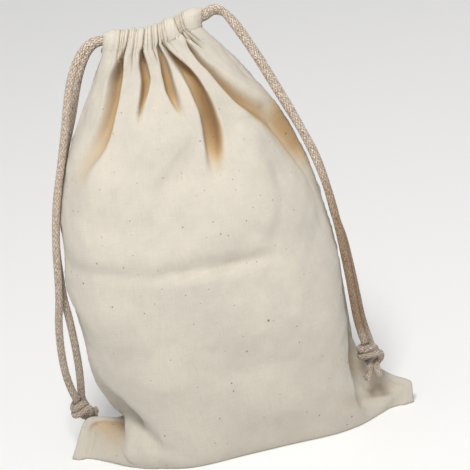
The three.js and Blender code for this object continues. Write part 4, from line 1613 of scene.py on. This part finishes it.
FRONT_CREASES = [
    # The crease across the front
    Crease(
        (0.02, 246, 0, 9, 6), (0.12, 247, 1.6, 9, 5), (0.225, 245, 2.4, 8, 4), (0.312, 240, 2, 8, 4),
        (0.395, 234, 3, 9, 3.6), (0.438, 232, 5.4, 12, 3), (0.478, 230, 7.4, 13, 2.8),
        (0.532, 228, 8, 13, 2.8), (0.59, 226, 7.8, 12, 2.6), (0.645, 225, 6.4, 10, 2.6),
        (0.69, 224, 4, 8, 3), (0.74, 223, 0, 7, 5),
    ),
    # The fold that leads from the left ear into the body
    Crease(
        (0.16, 106, 0, 5, 5), (0.2, 98, 3.0, 6, 5), (0.25, 92, 3.2, 7, 6), (0.31, 90, 2.2, 8, 7),
        (0.4, 84, 0, 9, 8),
    ),
    # The notch above the left ear
    Crease(
        (0.01, 116, 3, 18, 14), (0.04, 116, 12, 20, 15), (0.08, 116, 19, 22, 18), (0.13, 113, 21, 20, 20),
        (0.18, 108, 18, 16, 18), (0.22, 103, 11, 13, 13), (0.28, 97, 0, 10, 9),
    ),
    # The swell between the left ear and the body
    Crease(
        (0.03, 62, 0, 20, 24), (0.07, 66, -3, 22, 26), (0.11, 70, -8, 24, 28), (0.15, 74, -9, 24, 30),
        (0.20, 78, -4, 22, 26), (0.25, 80, 0, 20, 20),
    ),
]
# The pleats of the casings: the place across, how far that drifts up the casing, the depth, half of the width
# in millimetres, and the cloth height it starts at
FRONT_PLEATS = Table(
    "u drift depth half low",
    (0.155, -0.004, 1.2, 1.2, 410), (0.198, -0.01, 3.6, 0.9, 402), (0.216, -0.004, 2.4, 0.7, 408),
    (0.234, 0.006, 4.2, 0.8, 404), (0.268, 0.012, 5.0, 1.1, 404), (0.338, 0.006, 3.2, 1.0, 404),
    (0.362, 0.004, 2.2, 0.7, 412), (0.425, 0, 5.2, 1.1, 404), (0.465, -0.014, 1.8, 0.9, 410),
    (0.503, -0.02, 4.6, 0.9, 402), (0.522, -0.014, 2.8, 0.7, 410), (0.56, -0.02, 5.2, 1.0, 404),
    (0.585, -0.022, 2.8, 0.7, 408), (0.606, -0.028, 4.4, 0.8, 404), (0.634, -0.034, 2.6, 1.0, 406),
    (0.748, -0.055, 4.8, 0.9, 400), (0.768, -0.05, 3.0, 0.7, 404), (0.788, -0.045, 4.0, 0.8, 400),
    (0.812, -0.038, 4.4, 0.9, 402),
)
# The place across, the lowest cloth height and the depth of each fold below the back casing
BACK_FOLDS = ((0.14, 320, 6), (0.27, 345, 8), (0.42, 315, 9), (0.55, 350, 7), (0.68, 325, 9), (0.84, 340, 7))
# Each of these also paints warm light and shade along its bottom
BACK_TROUGHS = [
    Trough(
        (low, u - 0.03, u + 0.03, 0, 14, 14, 0), (370, u - 0.02, u + 0.03, depth, 8, 4, 0),
        (405, u - 0.02, u + 0.02, depth + 1, 4, 1.8, 1), (420, u - 0.012, u + 0.012, depth - 1, 2, 1.6, 0.5),
        (434, u - 0.006, u + 0.006, 0, 1.4, 1.4, 0),
    )
    for u, low, depth in BACK_FOLDS
]
BACK_CREASES = [
    Crease(
        (0.1, 216, 0, 8, 5), (0.3, 219, 1.6, 8, 4), (0.5, 224, 1.1, 8, 4), (0.7, 220, 1.8, 8, 4),
        (0.9, 226, 0, 8, 5),
    ),
]
BACK_PLEATS = Table(
    "u drift depth half low",
    (0.14, 0.004, 3.4, 0.9, 424), (0.19, -0.01, 2.4, 0.9, 424), (0.27, 0.003, 4.0, 1.1, 420),
    (0.33, 0.01, 2.6, 0.9, 426), (0.42, 0, 3.8, 1.0, 424), (0.47, -0.01, 2.3, 0.8, 428),
    (0.55, 0.02, 4.0, 1.0, 422), (0.61, 0.01, 2.6, 0.8, 426), (0.68, 0.02, 3.8, 0.9, 420),
    (0.76, 0.02, 3.0, 0.9, 422), (0.84, 0.02, 3.6, 0.8, 420),
)


def main() -> None:
    """Builds the scene: the camera and the cords first, then the cloth, the floor and the light."""
    logging.basicConfig(level=logging.INFO, format="%(name)s: %(message)s")
    studio = Studio()
    studio.camera()
    braid = Braid(CordFinish().material())
    for drawcord in (LEFT_DRAWCORD, RIGHT_DRAWCORD):
        drawcord.build(braid)
    cotton = ClothFinish().material()
    panels = (
        Panel("front", -1, 0.42, FRONT_TROUGHS, FRONT_CREASES, FRONT_PLEATS, 11),
        Panel("back", 1, 0.5, BACK_TROUGHS, BACK_CREASES, BACK_PLEATS, 23),
    )
    sewing = Stitching(ThreadFinish().material())
    for panel in panels:
        made = panel.build(cotton)
        stitches = sewing.along(f"{panel.name}_casing_stitches", panel.stitch_line)
        declare(stitches)
        declare(made, f"panel_{panel.name}")
    studio.floor()
    studio.light()


if __name__ == "__main__":
    main()
